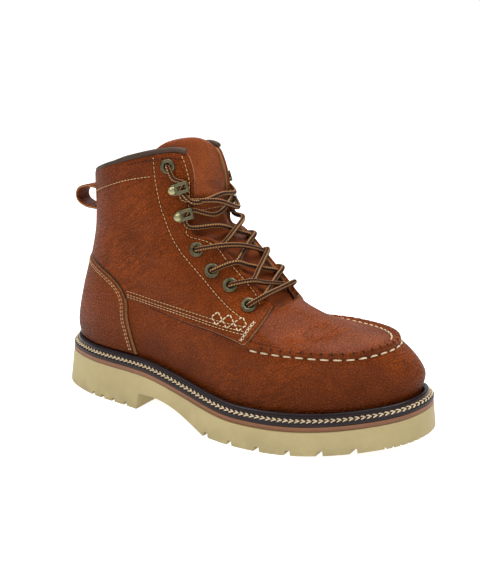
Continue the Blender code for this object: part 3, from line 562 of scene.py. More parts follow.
def new_group(name, inputs, outputs):
    group = bpy.data.node_groups.new(name, "ShaderNodeTree")
    for label, kind, value in inputs:
        socket = group.interface.new_socket(label, in_out="INPUT", socket_type=kind)
        socket.default_value = value
    for label, kind in outputs:
        group.interface.new_socket(label, in_out="OUTPUT", socket_type=kind)
    return group, group.nodes.new("NodeGroupInput"), group.nodes.new("NodeGroupOutput")


def node(tree, kind, settings=None, **values):
    """Add a node, set its properties, then set or link its inputs."""
    made = tree.nodes.new(kind)
    for key, value in (settings or {}).items():
        setattr(made, key, value)
    for key, value in values.items():
        socket = made.inputs[int(key[1:])] if key[0] == "_" else made.inputs[key.replace("_", " ")]
        if isinstance(value, bpy.types.NodeSocket):
            tree.links.new(value, socket)
        else:
            socket.default_value = value
    return made


def maths(tree, operation, first, second=0.0, clamp=False):
    settings = {"operation": operation, "use_clamp": clamp}
    return node(tree, "ShaderNodeMath", settings, _0=first, _1=second).outputs[0]


def blend_colour(tree, share, first, second, mode="MIX"):
    mixed = node(tree, "ShaderNodeMix", {"data_type": "RGBA", "blend_type": mode, "clamp_factor": True},
                 _0=share, _6=first, _7=second)
    return mixed.outputs[2]


def object_place(tree):
    return node(tree, "ShaderNodeTexCoord").outputs["Object"]


# %% Pebbled grain
def make_grain():
    group, given, out = new_group(
        "pebbled grain",
        [("Size", "NodeSocketFloat", 0.0012), ("Roundness", "NodeSocketFloat", 0.6)],
        [("Height", "NodeSocketFloat"), ("Valleys", "NodeSocketFloat")])
    place = object_place(group)
    scale = maths(group, "DIVIDE", 1.0, given.outputs["Size"])
    warp = node(group, "ShaderNodeTexNoise", Vector=place, Scale=260.0, Detail=2.0)
    shift = node(group, "ShaderNodeVectorMath", {"operation": "SCALE"},
                 _0=warp.outputs["Color"], Scale=0.0011)
    moved = node(group, "ShaderNodeVectorMath", {"operation": "ADD"}, _0=place, _1=shift.outputs[0])
    cells = node(group, "ShaderNodeTexVoronoi", {"feature": "DISTANCE_TO_EDGE"},
                 Vector=moved.outputs[0], Scale=scale)
    dome = maths(group, "MULTIPLY", cells.outputs["Distance"], 2.6, True)
    dome = maths(group, "POWER", dome, given.outputs["Roundness"])
    fine = node(group, "ShaderNodeTexNoise", Vector=place, Scale=2600.0, Detail=3.0, Roughness=0.6)
    height = maths(group, "ADD", dome, maths(group, "MULTIPLY", fine.outputs["Fac"], 0.35))
    group.links.new(height, out.inputs["Height"])
    valleys = maths(group, "MULTIPLY", cells.outputs["Distance"], 7.0, True)
    valleys = maths(group, "SUBTRACT", 1.0, valleys, True)
    group.links.new(valleys, out.inputs["Valleys"])
    return group


# %% Slow change of tone
def make_tone():
    group, given, out = new_group(
        "uneven tone",
        [("Light", "NodeSocketColor", (1, 1, 1, 1)), ("Dark", "NodeSocketColor", (0, 0, 0, 1)),
         ("Size", "NodeSocketFloat", 0.03), ("Contrast", "NodeSocketFloat", 1.0)],
        [("Color", "NodeSocketColor"), ("Share", "NodeSocketFloat")])
    place = object_place(group)
    scale = maths(group, "DIVIDE", 1.0, given.outputs["Size"])
    clouds = node(group, "ShaderNodeTexNoise", Vector=place, Scale=scale, Detail=5.0, Roughness=0.62)
    centred = maths(group, "SUBTRACT", clouds.outputs["Fac"], 0.5)
    centred = maths(group, "MULTIPLY", centred, given.outputs["Contrast"])
    share = maths(group, "ADD", centred, 0.5, True)
    colour = blend_colour(group, share, given.outputs["Dark"], given.outputs["Light"])
    group.links.new(colour, out.inputs["Color"])
    group.links.new(share, out.inputs["Share"])
    return group


# %% Band beside an edge or a seam
def make_band():
    group, given, out = new_group(
        "band beside a line",
        [("Distance", "NodeSocketFloat", 1.0), ("Width", "NodeSocketFloat", 1.0)],
        [("Mask", "NodeSocketFloat")])
    ratio = maths(group, "DIVIDE", given.outputs["Distance"], given.outputs["Width"])
    square = maths(group, "MULTIPLY", ratio, ratio)
    mask = maths(group, "POWER", 2.718, maths(group, "MULTIPLY", square, -1.0), True)
    group.links.new(mask, out.inputs["Mask"])
    return group


# %% Fine wrinkles
def make_wrinkles():
    group, given, out = new_group(
        "fine wrinkles",
        [("Size", "NodeSocketFloat", 0.004), ("Stretch", "NodeSocketFloat", 4.0)],
        [("Height", "NodeSocketFloat")])
    place = object_place(group)
    tilted = node(group, "ShaderNodeVectorRotate", {"rotation_type": "Y_AXIS"}, Vector=place, Angle=0.55)
    longer = maths(group, "DIVIDE", 1.0, given.outputs["Stretch"])
    ratio = node(group, "ShaderNodeCombineXYZ", X=longer, Y=longer, Z=1.0)
    drawn = node(group, "ShaderNodeVectorMath", {"operation": "MULTIPLY"},
                 _0=tilted.outputs[0], _1=ratio.outputs[0])
    scale = maths(group, "DIVIDE", 1.0, given.outputs["Size"])
    lines = node(group, "ShaderNodeTexNoise",
                 Vector=drawn.outputs[0], Scale=scale, Detail=2.0, Distortion=0.6)
    fold = maths(group, "ABSOLUTE", maths(group, "SUBTRACT", lines.outputs["Fac"], 0.5))
    crease = maths(group, "SUBTRACT", 1.0, maths(group, "MULTIPLY", fold, 16.0, True), True)
    patches = node(group, "ShaderNodeTexNoise", Vector=place, Scale=24.0, Detail=1.0)
    where = maths(group, "MULTIPLY", maths(group, "SUBTRACT", patches.outputs["Fac"], 0.46), 7.0, True)
    group.links.new(maths(group, "MULTIPLY", crease, where), out.inputs["Height"])
    return group


GRAIN, TONE, BAND, WRINKLES = make_grain(), make_tone(), make_band(), make_wrinkles()
print("node groups:", [g.name for g in bpy.data.node_groups])


def use(tree, group, **values):
    made = tree.nodes.new("ShaderNodeGroup")
    made.node_tree = group
    for key, value in values.items():
        if isinstance(value, bpy.types.NodeSocket):
            tree.links.new(value, made.inputs[key])
        else:
            made.inputs[key].default_value = value
    return made.outputs


def stored(tree, name):
    return node(tree, "ShaderNodeAttribute", {"attribute_name": name}).outputs["Fac"]


def start_material(name, **settings):
    material = bpy.data.materials.new(name)
    material.use_nodes = True
    shader = material.node_tree.nodes["Principled BSDF"]
    for key, value in settings.items():
        shader.inputs[key.replace("_", " ")].default_value = value
    return material, material.node_tree, shader


def set_bump(tree, shader, strength, distance, height):
    bump = node(tree, "ShaderNodeBump", Strength=strength, Distance=distance, Height=height)
    tree.links.new(bump.outputs["Normal"], shader.inputs["Normal"])


def set_roughness(tree, shader, base, tone, share):
    rough = maths(tree, "ADD", base, maths(tree, "MULTIPLY", tone["Share"], share))
    tree.links.new(rough, shader.inputs["Roughness"])


def darker(colour, share):
    return tuple(channel * share for channel in colour[:3]) + (1,)


# %% [markdown]
# ## Leathers
#
# The upper is an oiled, pull-up leather: russet where it is stretched, with a low waxy gloss. Painted shade
# darkens the valleys of its grain and the leather near the welt. Cut edges are left raw and show the lighter,
# fibrous core.
# A single brown would look like plastic, so tone, grain, seams and edges each change the colour a little.

# %% Leather
# Share of painted shade that darkens the upper towards the welt.
WELT_SHADE = 0.5
WAXED = dict(Specular_IOR_Level=0.07, Coat_Roughness=0.22)
FLECKS = dict(Light=(1.12, 1.10, 1.08, 1), Dark=(0.80, 0.76, 0.74, 1), Size=0.0035, Contrast=1.8)


def make_leather(name, light, dark, grain, depth, gloss=0.42, coat=0.05, marks=False):
    material, tree, shader = start_material(name, Coat_Weight=coat, **WAXED)
    tone = use(tree, TONE, Light=light, Dark=dark, Size=0.040, Contrast=2.2)
    colour = blend_colour(tree, 0.55, tone["Color"], use(tree, TONE, **FLECKS)["Color"], "MULTIPLY")
    pebble = use(tree, GRAIN, Size=grain, Roundness=0.6)
    # Painted shade: the colour darkens in the grain's valleys, where shade falls between the pebbles.
    valley_shade = darker(dark, 0.42)
    colour = blend_colour(tree, maths(tree, "MULTIPLY", pebble["Valleys"], 0.50), colour, valley_shade)
    height = pebble["Height"]
    if marks:
        wrinkle = use(tree, WRINKLES, Size=0.0042, Stretch=4.5)["Height"]
        height = maths(tree, "SUBTRACT", height, maths(tree, "MULTIPLY", wrinkle, 1.1))
        # Painted shade: the colour darkens inside the fine wrinkles.
        colour = blend_colour(tree, maths(tree, "MULTIPLY", wrinkle, 0.30), colour, valley_shade)
        edge = use(tree, BAND, Distance=stored(tree, "edge"), Width=1.1)["Mask"]
        seam = use(tree, BAND, Distance=stored(tree, "seam"), Width=0.75)["Mask"]
        low = use(tree, BAND, Distance=stored(tree, "low"), Width=18.0)["Mask"]
        # Painted shade: the colour darkens along stitch lines, in the moc seam's groove and towards the welt.
        shade = maths(tree, "MULTIPLY", seam, 0.30)
        for mask, weight in ((low, WELT_SHADE), (edge, 0.22)):
            shade = maths(tree, "ADD", shade, maths(tree, "MULTIPLY", mask, weight), True)
        colour = blend_colour(tree, shade, colour, darker(dark, 0.50))
        # Painted shadow: a near-black band beside the edge of an overlay that lies on this leather.
        gap_shadow = use(tree, BAND, Distance=stored(tree, "gap_shadow"), Width=1.0)["Mask"]
        colour = blend_colour(tree, maths(tree, "MULTIPLY", gap_shadow, 0.82), colour, (0.012, 0.004, 0.002, 1))
        height = maths(tree, "SUBTRACT", height, maths(tree, "MULTIPLY", seam, 1.5))
    tree.links.new(colour, shader.inputs["Base Color"])
    rough = maths(tree, "ADD", gloss, maths(tree, "MULTIPLY", pebble["Valleys"], 0.22), True)
    set_roughness(tree, shader, rough, tone, 0.08)
    set_bump(tree, shader, 0.85, depth, height)
    return material


RUSSET = make_leather(
    "russet leather", (0.262, 0.050, 0.0034, 1), (0.106, 0.0190, 0.0015, 1), 0.0021, 0.00085, marks=True)
TONGUE_LEATHER = make_leather(
    "tongue leather", (0.290, 0.068, 0.014, 1), (0.150, 0.032, 0.007, 1), 0.0016, 0.0005)
GUSSET = make_leather(
    "gusset leather", (0.215, 0.048, 0.010, 1), (0.120, 0.024, 0.006, 1), 0.0008, 0.00010, 0.44)
LINING = make_leather(
    "lining leather", (0.36, 0.185, 0.085, 1), (0.25, 0.12, 0.055, 1), 0.0006, 0.00004, 0.7, 0.0)
BINDING = make_leather(
    "binding leather", (0.092, 0.062, 0.044, 1), (0.048, 0.030, 0.022, 1), 0.0008, 0.00008)


# %% Raw cut edge
def make_raw_edge():
    material, tree, shader = start_material("raw leather edge", Roughness=0.85)
    tone = use(tree, TONE, Light=(0.36, 0.180, 0.065, 1), Dark=(0.15, 0.060, 0.020, 1),
               Size=0.0016, Contrast=2.4)
    tree.links.new(tone["Color"], shader.inputs["Base Color"])
    fibres = node(tree, "ShaderNodeTexNoise", Scale=1800.0, Detail=4.0,
                  Vector=object_place(tree))
    set_bump(tree, shader, 0.7, 0.0002, fibres.outputs["Fac"])
    return material


RAW_EDGE = make_raw_edge()


# %% [markdown]
# ## Threads
#
# Waxed thread is two or three strands laid together. At this size the lay shows only as a fine slanting
# ripple, so it is a wave texture in the bump, with painted shade darkening the grooves.

# %% Thread
def make_thread(name, light, dark):
    material, tree, shader = start_material(name, Roughness=0.7, Specular_IOR_Level=0.15)
    place = object_place(tree)
    lay = node(tree, "ShaderNodeTexWave", {"bands_direction": "DIAGONAL"},
               Vector=place, Scale=620.0, Distortion=1.5)
    tone = use(tree, TONE, Light=light, Dark=dark, Size=0.004, Contrast=2.0)
    # Painted shade: the colour darkens with the ripple of the lay.
    colour = blend_colour(tree, maths(tree, "MULTIPLY", lay.outputs["Fac"], 0.35), tone["Color"], dark)
    tree.links.new(colour, shader.inputs["Base Color"])
    set_bump(tree, shader, 0.6, 0.0002, lay.outputs["Fac"])
    return material


CREAM_THREAD = make_thread("cream thread", (0.78, 0.64, 0.44, 1), (0.46, 0.34, 0.20, 1))
TAN_THREAD = make_thread("tan thread", (0.70, 0.46, 0.25, 1), (0.42, 0.23, 0.10, 1))
# Dark thread for the collar stitches, also used for the painted shade of the moc seam's nicks.
DARK_THREAD_AND_NICK_SHADE = make_thread("dark thread and nick shade", (0.032, 0.014, 0.008, 1), (0.014, 0.006, 0.004, 1))


# %% [markdown]
# ## Rubber, welt and brass
#
# The outsole is a foamed cream rubber: matt, a little mottled, greyer low down where it meets the floor.
# The welt is dark, waxed and glossy on its rib. The hardware is brass with a dull green-brown finish that
# is rubbed bright on its high spots.

# %% Rubber
def make_rubber(name, light, dark, rough, grit, floor_dirt, shine=0.30):
    material, tree, shader = start_material(name, Specular_IOR_Level=shine)
    place = object_place(tree)
    tone = use(tree, TONE, Light=light, Dark=dark, Size=0.030, Contrast=1.8)
    height = node(tree, "ShaderNodeSeparateXYZ", Vector=place).outputs["Z"]
    dirt = use(tree, BAND, Distance=height, Width=0.010)["Mask"]
    scuff = use(tree, TONE, Light=(1, 1, 1, 1), Dark=(0, 0, 0, 1), Size=0.012, Contrast=3.0)["Share"]
    dirt = maths(tree, "MULTIPLY", maths(tree, "MULTIPLY", dirt, scuff), floor_dirt)
    tree.links.new(blend_colour(tree, dirt, tone["Color"], darker(dark, 0.62)),
                   shader.inputs["Base Color"])
    set_roughness(tree, shader, rough, tone, 0.10)
    pores = node(tree, "ShaderNodeTexNoise", Vector=place, Scale=1500.0, Detail=3.0)
    set_bump(tree, shader, grit, 0.00012, pores.outputs["Fac"])
    return material


CREAM_RUBBER = make_rubber(
    "cream rubber", (0.428, 0.352, 0.172, 1), (0.342, 0.270, 0.128, 1), 0.55, 0.35, 0.5)
MIDSOLE_BROWN = make_rubber(
    "brown midsole", (0.240, 0.103, 0.049, 1), (0.160, 0.068, 0.033, 1), 0.50, 0.5, 0.0)
WELT_DARK = make_rubber(
    "dark welt", (0.016, 0.0085, 0.0100, 1), (0.008, 0.0045, 0.0055, 1), 0.26, 0.30, 0.0, 0.22)


# %% Aged brass
def make_brass(name, bright, dull):
    material, tree, shader = start_material(name, Metallic=0.9, Specular_IOR_Level=0.5)
    place = object_place(tree)
    rubbed = maths(tree, "SUBTRACT", node(tree, "ShaderNodeNewGeometry").outputs["Pointiness"], 0.47)
    rubbed = maths(tree, "MULTIPLY", rubbed, 9.0, True)
    tone = use(tree, TONE, Light=bright, Dark=dull, Size=0.0035, Contrast=2.2)
    tree.links.new(blend_colour(tree, maths(tree, "MULTIPLY", rubbed, 0.5), tone["Color"], bright),
                   shader.inputs["Base Color"])
    set_roughness(tree, shader, 0.30, tone, 0.22)
    pits = node(tree, "ShaderNodeTexNoise", Vector=place, Scale=1400.0, Detail=3.0)
    set_bump(tree, shader, 0.35, 0.0001, pits.outputs["Fac"])
    return material


BRASS = make_brass("aged brass", (0.150, 0.132, 0.070, 1), (0.050, 0.047, 0.030, 1))
RIVET_BRASS = make_brass("rubbed brass", (0.42, 0.39, 0.20, 1), (0.20, 0.19, 0.10, 1))


# %% [markdown]
# ## The lace
#
# A round work lace is braided from dark and golden yarns. The gold runs in stripes along the cord, broken
# by dark flecks where a dark yarn crosses. The tube stores its length and angle, so the braid is drawn
# along the cord and not in space, and follows each bend.

# %% Lace
LACE_STRIPES, LACE_TWIST = 4.0, 3600.0


def make_lace():
    material, tree, shader = start_material("braided lace", Roughness=0.85, Specular_IOR_Level=0.2)
    length, sine, cosine = (stored(tree, n) for n in ("length", "turn_sin", "turn_cos"))
    angle = maths(tree, "MULTIPLY", maths(tree, "ARCTAN2", sine, cosine), LACE_STRIPES)
    twist = maths(tree, "MULTIPLY", length, LACE_TWIST)
    stripe = maths(tree, "COSINE", angle)
    stripe = maths(tree, "MULTIPLY", maths(tree, "ADD", stripe, -0.10), 2.6, True)
    right = maths(tree, "SINE", maths(tree, "ADD", twist, angle))
    left = maths(tree, "SINE", maths(tree, "SUBTRACT", twist, angle))
    braid = maths(tree, "MAXIMUM", right, left)
    fleck = maths(tree, "MULTIPLY", maths(tree, "ADD", right, 0.75), 2.5, True)
    gold = maths(tree, "MULTIPLY", stripe, fleck)
    colour = blend_colour(tree, gold, (0.026, 0.008, 0.004, 1), (0.37, 0.175, 0.058, 1))
    tree.links.new(colour, shader.inputs["Base Color"])
    set_bump(tree, shader, 0.9, 0.0003, braid)
    return material


LACE = make_lace()
print("materials:", len(bpy.data.materials))

# %% [markdown]
# ## Holders: where the lace is carried
#
# Four eyelets, two hooks and a top eyelet stand on each eyestay. Their places come before the leather,
# because the leather has to be punched for them.

# %% Places of the eyelets and hooks
HOOK_TILT = math.radians(20.0)


def holder_frame(along, height, inner, reach):
    """Matrix of a holder: X forward to the rim, Y along the eyestay, Z out of the leather."""
    u = along * SOLE_LENGTH
    spot = to_last([(u, bed(u) + height * SHAFT_HEIGHT)], inner)[0]
    point, normal = last(*spot)[0], last_axes(*spot)[2][0]
    forward = unit(np.array([1.0, 0.0, 0.0]) - normal * normal[0])
    side = np.cross(normal, forward)
    s, l = np.meshgrid(spot[0] + np.linspace(-0.7, 0.7, 57), np.linspace(max(spot[1] - 0.6, 3.0), 5.0, 41))
    local = last(s.ravel(), l.ravel()) - point
    behind, ahead, half = reach
    under = (local @ forward > -behind) & (local @ forward < ahead) & (np.abs(local @ side) < half)
    point = point + normal * max((local @ normal)[under].max(), 0.0)
    return np.array([forward, side, normal, point]), spot


PLACES = {}
for holder, along, height, kind in HOLDERS:
    for inner in (False, True):
        reach = (EYELET_RADIUS,) * 3 if kind == "eyelet" else (RIVET_RADIUS, HOOK_LENGTH, HOOK_WIDTH / 2)
        PLACES[(holder, inner)] = (*holder_frame(along, height, inner, reach), kind)
print("holders:", len(PLACES))


def punched(points):
    """Which points lie inside an eyelet's punched hole."""
    inside = np.zeros(len(points), bool)
    for axes, _spot, kind in PLACES.values():
        if kind == "eyelet":
            local = points - axes[3]
            near = np.hypot(local @ axes[0], local @ axes[1]) < EYELET_BARREL + 0.0007
            inside |= near & (np.abs(local @ axes[2]) < 0.006)
    return inside


# %% [markdown]
# ## The upper
#
# Vamp, toe plug and shaft are one shell here, as in the frame. The grid is closed both ways: its rows go up
# the lining, over the rim and down the outside. The rows lie closest at the moc seam, where the light picks
# out every gather.

# %% Upper shell
inside_levels = np.linspace(0.0, 5.0, 15)
outside_levels = np.concatenate([np.linspace(5.0, 3.42, 32), np.linspace(3.38, 2.88, 30),
                                 np.linspace(2.84, 1.0, 30), [0.5, 0.0]])
upper_rows = [(level, -WALL) for level in inside_levels] + [(5.0, -WALL * 0.5)]
upper_rows += [(level, 0.0) for level in outside_levels]
around = even_stations(2.4, 0.00095)[:-1]
grid = np.array([skin(around, np.full(len(around), level), lift) for level, lift in upper_rows])
upper_points = grid.reshape(-1, 3)
faces = grid_faces(len(upper_rows), len(around), wrap_rows=True, wrap_columns=True)
faces = faces[~punched(upper_points[faces].mean(1))]
upper = add_object("upper_leather", upper_points, faces, [RUSSET, LINING])
set_slots(upper, faces[:, 0] // len(around) < len(inside_levels))
welt_top = bed(outline(around, WELT_LEDGE)[:, 0]) + WELT_THICKNESS + RIB_HEIGHT
over_welt = upper_points[:, 2] - np.tile(welt_top, len(upper_rows))
set_value(upper, "low", np.maximum(over_welt, 0.0) * 1000)
set_value(upper, "edge", np.full(len(upper_points), 30.0))
print("upper:", len(upper_points), "points,", len(faces), "faces")

# %% [markdown]
# ## Overlays
#
# Quarters, backstay and heel counter are flat pieces sewn on top. Each is drawn as a border in stations and
# levels, filled with a fine triangulation, lifted by its thickness and given a slanted wall. The wall has
# the raw edge material, because a cut edge that catches the light is what tells real leather from paint.

# %% Panel maker
def inside_loop(points, loop):
    """Even-odd test of many points in one polygon."""
    x, y = points.T
    ax, ay = loop.T
    bx, by = np.roll(ax, -1), np.roll(ay, -1)
    hit = np.zeros(len(points), bool)
    for x0, y0, x1, y1 in zip(ax, ay, bx, by):
        if y0 != y1:
            crossing = (y > min(y0, y1)) & (y <= max(y0, y1))
            hit ^= crossing & (x < (x1 - x0) * (y - y0) / (y1 - y0) + x0)
    return hit


def nearest(points, cloud):
    """Distance from each point to a cloud."""
    tree = KDTree(len(cloud))
    for k, place in enumerate(cloud):
        tree.insert(place, k)
    tree.balance()
    return np.array([tree.find(p)[2] for p in points])


def even_loop(loop, spacing, closed=True):
    """Border points at an even true spacing on the last."""
    loop = np.asarray(loop, float)
    loop = np.vstack([loop, loop[:1]]) if closed else loop
    steps = [np.linspace(a, b, 24, endpoint=False) for a, b in zip(loop[:-1], loop[1:])]
    fine = np.vstack(steps + [loop[-1:]])
    run = run_along(last(*fine.T))
    made = read_along(np.linspace(0.0, run[-1], int(run[-1] / spacing) + 1), run, fine)
    return made[:-1] if closed else made


def line_distance(points, line):
    """Distance from each point to a line given in stations and levels."""
    return nearest(points, last(*even_loop(line, 0.0006, False).T))


def set_in(loop, distance):
    """The border moved inwards by a true distance; its interior is on the left."""
    on, up, normal = last_axes(loop[:, 0], loop[:, 1])
    ahead = unit(last(*np.roll(loop, -1, 0).T) - last(*np.roll(loop, 1, 0).T))
    inward = np.cross(normal, ahead) * distance
    a, b, c = (on * on).sum(1), (on * up).sum(1), (up * up).sum(1)
    p, q = (inward * on).sum(1), (inward * up).sum(1)
    size = np.maximum(a * c - b * b, 1e-12)
    return loop + np.stack([(c * p - b * q) / size, (a * q - b * p) / size], 1)


PANEL_SPACING = 0.0012
BORDER_SPACING = 0.0009
BORDER_ROWS = (0.0004, 0.0010)
FAR = 0.02


def panel_cells(border, holes):
    """Triangles inside a border, and each point's distance to the border or a hole."""
    low, high = border.min(0), border.max(0)
    middle = (low + high) / 2
    on, up, _normal = last_axes(middle[0], middle[1])
    counts = [int((high[k] - low[k]) * np.linalg.norm(v) / PANEL_SPACING) + 2 for k, v in ((0, on), (1, up))]
    s, l = np.meshgrid(*(np.linspace(low[k], high[k], counts[k]) for k in (0, 1)))
    inner = np.stack([s.ravel(), l.ravel()], 1)
    inner = inner[inside_loop(inner, border)]
    loops = [border, *holes]
    fringe = np.concatenate([last(*loop.T) for loop in loops])
    inner = inner[nearest(last(*inner.T), fringe) > 0.0014]
    for hole in holes:
        inner = inner[~inside_loop(inner, hole)]
    steps = []
    for distance in BORDER_ROWS:
        moved = set_in(border, distance)
        moved = moved[inside_loop(moved, border)]
        steps.append(moved[nearest(last(*moved.T), last(*border.T)) > distance * 0.8])
    edges, first = [], 0
    for loop in loops:
        edges += [(first + k, first + (k + 1) % len(loop)) for k in range(len(loop))]
        first += len(loop)
    coords = [Vector(c) for c in np.concatenate([*loops, *steps, inner])]
    spots, _edges, cells, *_rest = delaunay_2d_cdt(coords, edges, [], 0, 1e-7)
    spots = np.array([tuple(v) for v in spots])
    cells = np.array([c for c in cells if len(c) == 3])
    centre = spots[cells].mean(1)
    keep = inside_loop(centre, border)
    for hole in holes:
        keep &= ~inside_loop(centre, hole)
    return spots, cells[keep], nearest(last(*spots.T), fringe)


def panel_wall(spots, cells, top, flare):
    """Directed border edges, their points and the foot of the slanted wall below them."""
    directed = dict.fromkeys(pair for a, b, c in cells.tolist() for pair in ((a, b), (b, c), (c, a)))
    rim = [pair for pair in directed if pair[::-1] not in directed]
    used = sorted({v for pair in rim for v in pair})
    place = {v: k for k, v in enumerate(used)}
    normal = last_axes(*spots[used].T)[2]
    outward = np.zeros((len(used), 3))
    for a, b in rim:
        out = unit(np.cross(top[b] - top[a], normal[place[a]]))
        outward[place[a]] += out
        outward[place[b]] += out
    at_rim = spots[used, 1] > 4.9
    foot = skin(*spots[used].T, 0.00005) + unit(outward) * np.where(at_rim, 0.0002, flare)[:, None]
    return [(place[a], place[b]) for a, b in rim], used, foot, at_rim


def panel(name, border, thickness, holes=(), seams=(), flare=0.0005, shadow_lines=()):
    """An overlay with a thinned, raw edge, and its distances to edge, gap shadow, seam and welt in
    millimetres; the last three place painted shade.
    """
    border = even_loop(border, BORDER_SPACING)
    area = (border[:, 0] * np.roll(border[:, 1], -1) - np.roll(border[:, 0], -1) * border[:, 1]).sum()
    spots, cells, distance = panel_cells(border if area > 0 else border[::-1], holes)
    places = last(*spots.T)
    seam_distance = np.full(len(spots), FAR)
    for seam in seams:
        seam_distance = np.minimum(seam_distance, line_distance(places, seam))
    fall = np.clip(1.0 - distance / 0.0012, 0.0, 1.0)
    dip = 0.00028 * np.exp(-(seam_distance / 0.0010) ** 2)
    top = skin(*spots.T, OVERLAY_GAP + thickness - 0.00045 * fall ** 2 - dip)
    rim, used, foot, at_rim = panel_wall(spots, cells, top, flare)
    base, wide = len(spots), len(used)
    walls = [(base + a, base + wide + a, base + wide + b, base + b) for a, b in rim]
    vertices = np.concatenate([top, top[used], foot])
    item = add_object(name, vertices, cells.tolist() + walls, [RUSSET, RAW_EDGE])
    set_slots(item, [0] * len(cells) + [0 if at_rim[a] else 1 for a, _b in rim])
    # Painted shadow: distance to where a neighbouring overlay's edge throws its shadow.
    gap_shadow = np.full(len(vertices), FAR)
    for line in shadow_lines:
        gap_shadow = np.minimum(gap_shadow, line_distance(vertices, line) - OVERLAY_GAP - thickness)
    along = np.linspace(0, SOLE_LENGTH, 50)
    bed_height = np.interp(vertices[:, 0] - SHIFT[0], along, bed(along))
    marks = {"edge": np.concatenate([distance, np.zeros(2 * wide)]), "gap_shadow": gap_shadow,
             "seam": np.concatenate([seam_distance, np.full(2 * wide, FAR)]),
             "low": vertices[:, 2] - bed_height - WELT_THICKNESS - RIB_HEIGHT}
    for mark, metres in marks.items():
        set_value(item, mark, np.maximum(metres, 0.0) * 1000)
    print(name, len(vertices), "points")
    return item


def side_line(points, inner=False):
    """Stations and levels of a smooth line given in millimetres on the side view."""
    points = np.array(points, float) / 1000
    return to_last(through(points, np.linspace(0, len(points) - 1, max(6 * len(points), 24))), inner)


def flip(spots):
    """The same stations and levels on the other side of the boot."""
    return np.array(spots) * [-1, 1] + [TURN, 0]


# %% Borders of the overlays
COUNTER_EDGE = (
    (0.030, 0.470), (0.095, 0.463), (0.150, 0.443), (0.205, 0.405), (0.240, 0.356), (0.254, 0.300),
    (0.254, 0.225), (0.262, 0.150), (0.274, 0.060),
)
QUARTER_EDGE = (
    (0.335, 0.306), (0.430, 0.303), (0.535, 0.318), (0.600, 0.312), (0.622, 0.306), (0.632, 0.330),
    (0.641, 0.370), (0.645, 0.415), (0.642, 0.470), (0.650, 0.560),
)


def edge_line(table, offset, samples=60):
    """Side view of an edge, moved outwards by `offset`."""
    rows = np.array(table, float)
    along = rows[:, 0] * SOLE_LENGTH
    line = np.stack([along, bed(along) + rows[:, 1] * SHAFT_HEIGHT], 1)
    line = through(line, np.linspace(0, len(rows) - 1, samples))
    step = np.gradient(line, axis=0)
    return line + unit(np.stack([-step[:, 1], step[:, 0]], 1)) * offset


def counter_line(offset):
    """The counter's edge on the outer side, from the heel's back to the welt, as stations and levels."""
    line = edge_line(COUNTER_EDGE, offset)
    back_stations = np.linspace(0.0, 1.25, 22)
    back_u = last(back_stations, 3.6)[:, 0] - SHIFT[0]
    back_levels = level_at(back_stations, np.interp(back_u, *line.T))
    back_part = np.stack([back_stations, back_levels], 1)
    front = to_last(line[line[:, 0] > back_u[-1] + 0.004])
    front = front[front[:, 1] > 1.02]
    return np.vstack([back_part, front])


def counter_loop(offset, bottom):
    side = counter_line(offset)
    foot = np.array([[side[-1, 0] + 0.02, bottom]])
    half = np.vstack([side, foot])
    across = np.stack([np.linspace(foot[0, 0], -foot[0, 0], 60)[1:-1], np.full(58, bottom)], 1)
    return np.vstack([half, across, (half * [-1, 1])[::-1][:-1]])


counter_border = counter_loop(0.0, 1.02)
counter_seams = []
for inset in (0.0024, 0.0042):
    line = counter_line(-inset)
    line = line[line[:, 1] > 1.15]
    counter_seams.append(np.vstack([(line * [-1, 1])[::-1][:-1], line]))
counter = panel("heel_counter_leather", counter_border, COUNTER_THICKNESS, seams=counter_seams, flare=0.0004)
finish_piece(counter, "tan_leather", "heel_counter")

half_stay = BACKSTAY_WIDTH / 2


def stay_station(level, half):
    """Station on the outer side where the last is `half` from its middle, at each level."""
    stations = np.linspace(0.0, 1.6, 161)
    return np.array([np.interp(half, SHIFT[1] - last(stations, v)[:, 1], stations) for v in level])


counter_top = counter_line(2 * GAP)
top_level = float(np.interp(0.3, counter_top[:20, 0], counter_top[:20, 1]))
stay_levels = np.linspace(top_level + 0.02, RIM_LEVEL, 24)
stay_side = np.stack([stay_station(stay_levels, half_stay), stay_levels], 1)
stay_border = np.vstack([stay_side, (stay_side * [-1, 1])[::-1]])
stay_seam = np.stack([stay_station(stay_levels, half_stay - 0.0022), stay_levels], 1)
stay_seams = [stay_seam, stay_seam * [-1, 1]]
backstay = panel("backstay_leather", stay_border, COUNTER_THICKNESS, seams=stay_seams)
finish_piece(backstay, "tan_leather", "backstay")

EYESTAY_LINE = ((105, 190), (107, 170), (113, 149), (126, 126), (147, 107), (169, 90.5), (181, 84))
COLLAR_LINE = ((34.6, 154), (55, 162), (79, 170), (92, 173), (103, 175))
FRONT_ROW = ((124.0, 190.5), (128, 182.5), (131.2, 173), (131.6, 163), (131.2, 146), (130.2, 136.5))
NOTCH_ROW = (
    (130.2, 136.5), (133.5, 134.2), (145, 132), (153, 128.3), (160.4, 120.6), (166, 115.6),
    (174.4, 107.6), (183, 99), (188.2, 92),
)
LOWER_EDGE = ((78.5, 81.5), (102, 79.5), (130.5, 77.3), (162, 74.5), (186, 72.5))
LOWER_ROWS = [[(u, z + lift) for u, z in LOWER_EDGE] for lift in (2.2, 4.0, 6.6)]


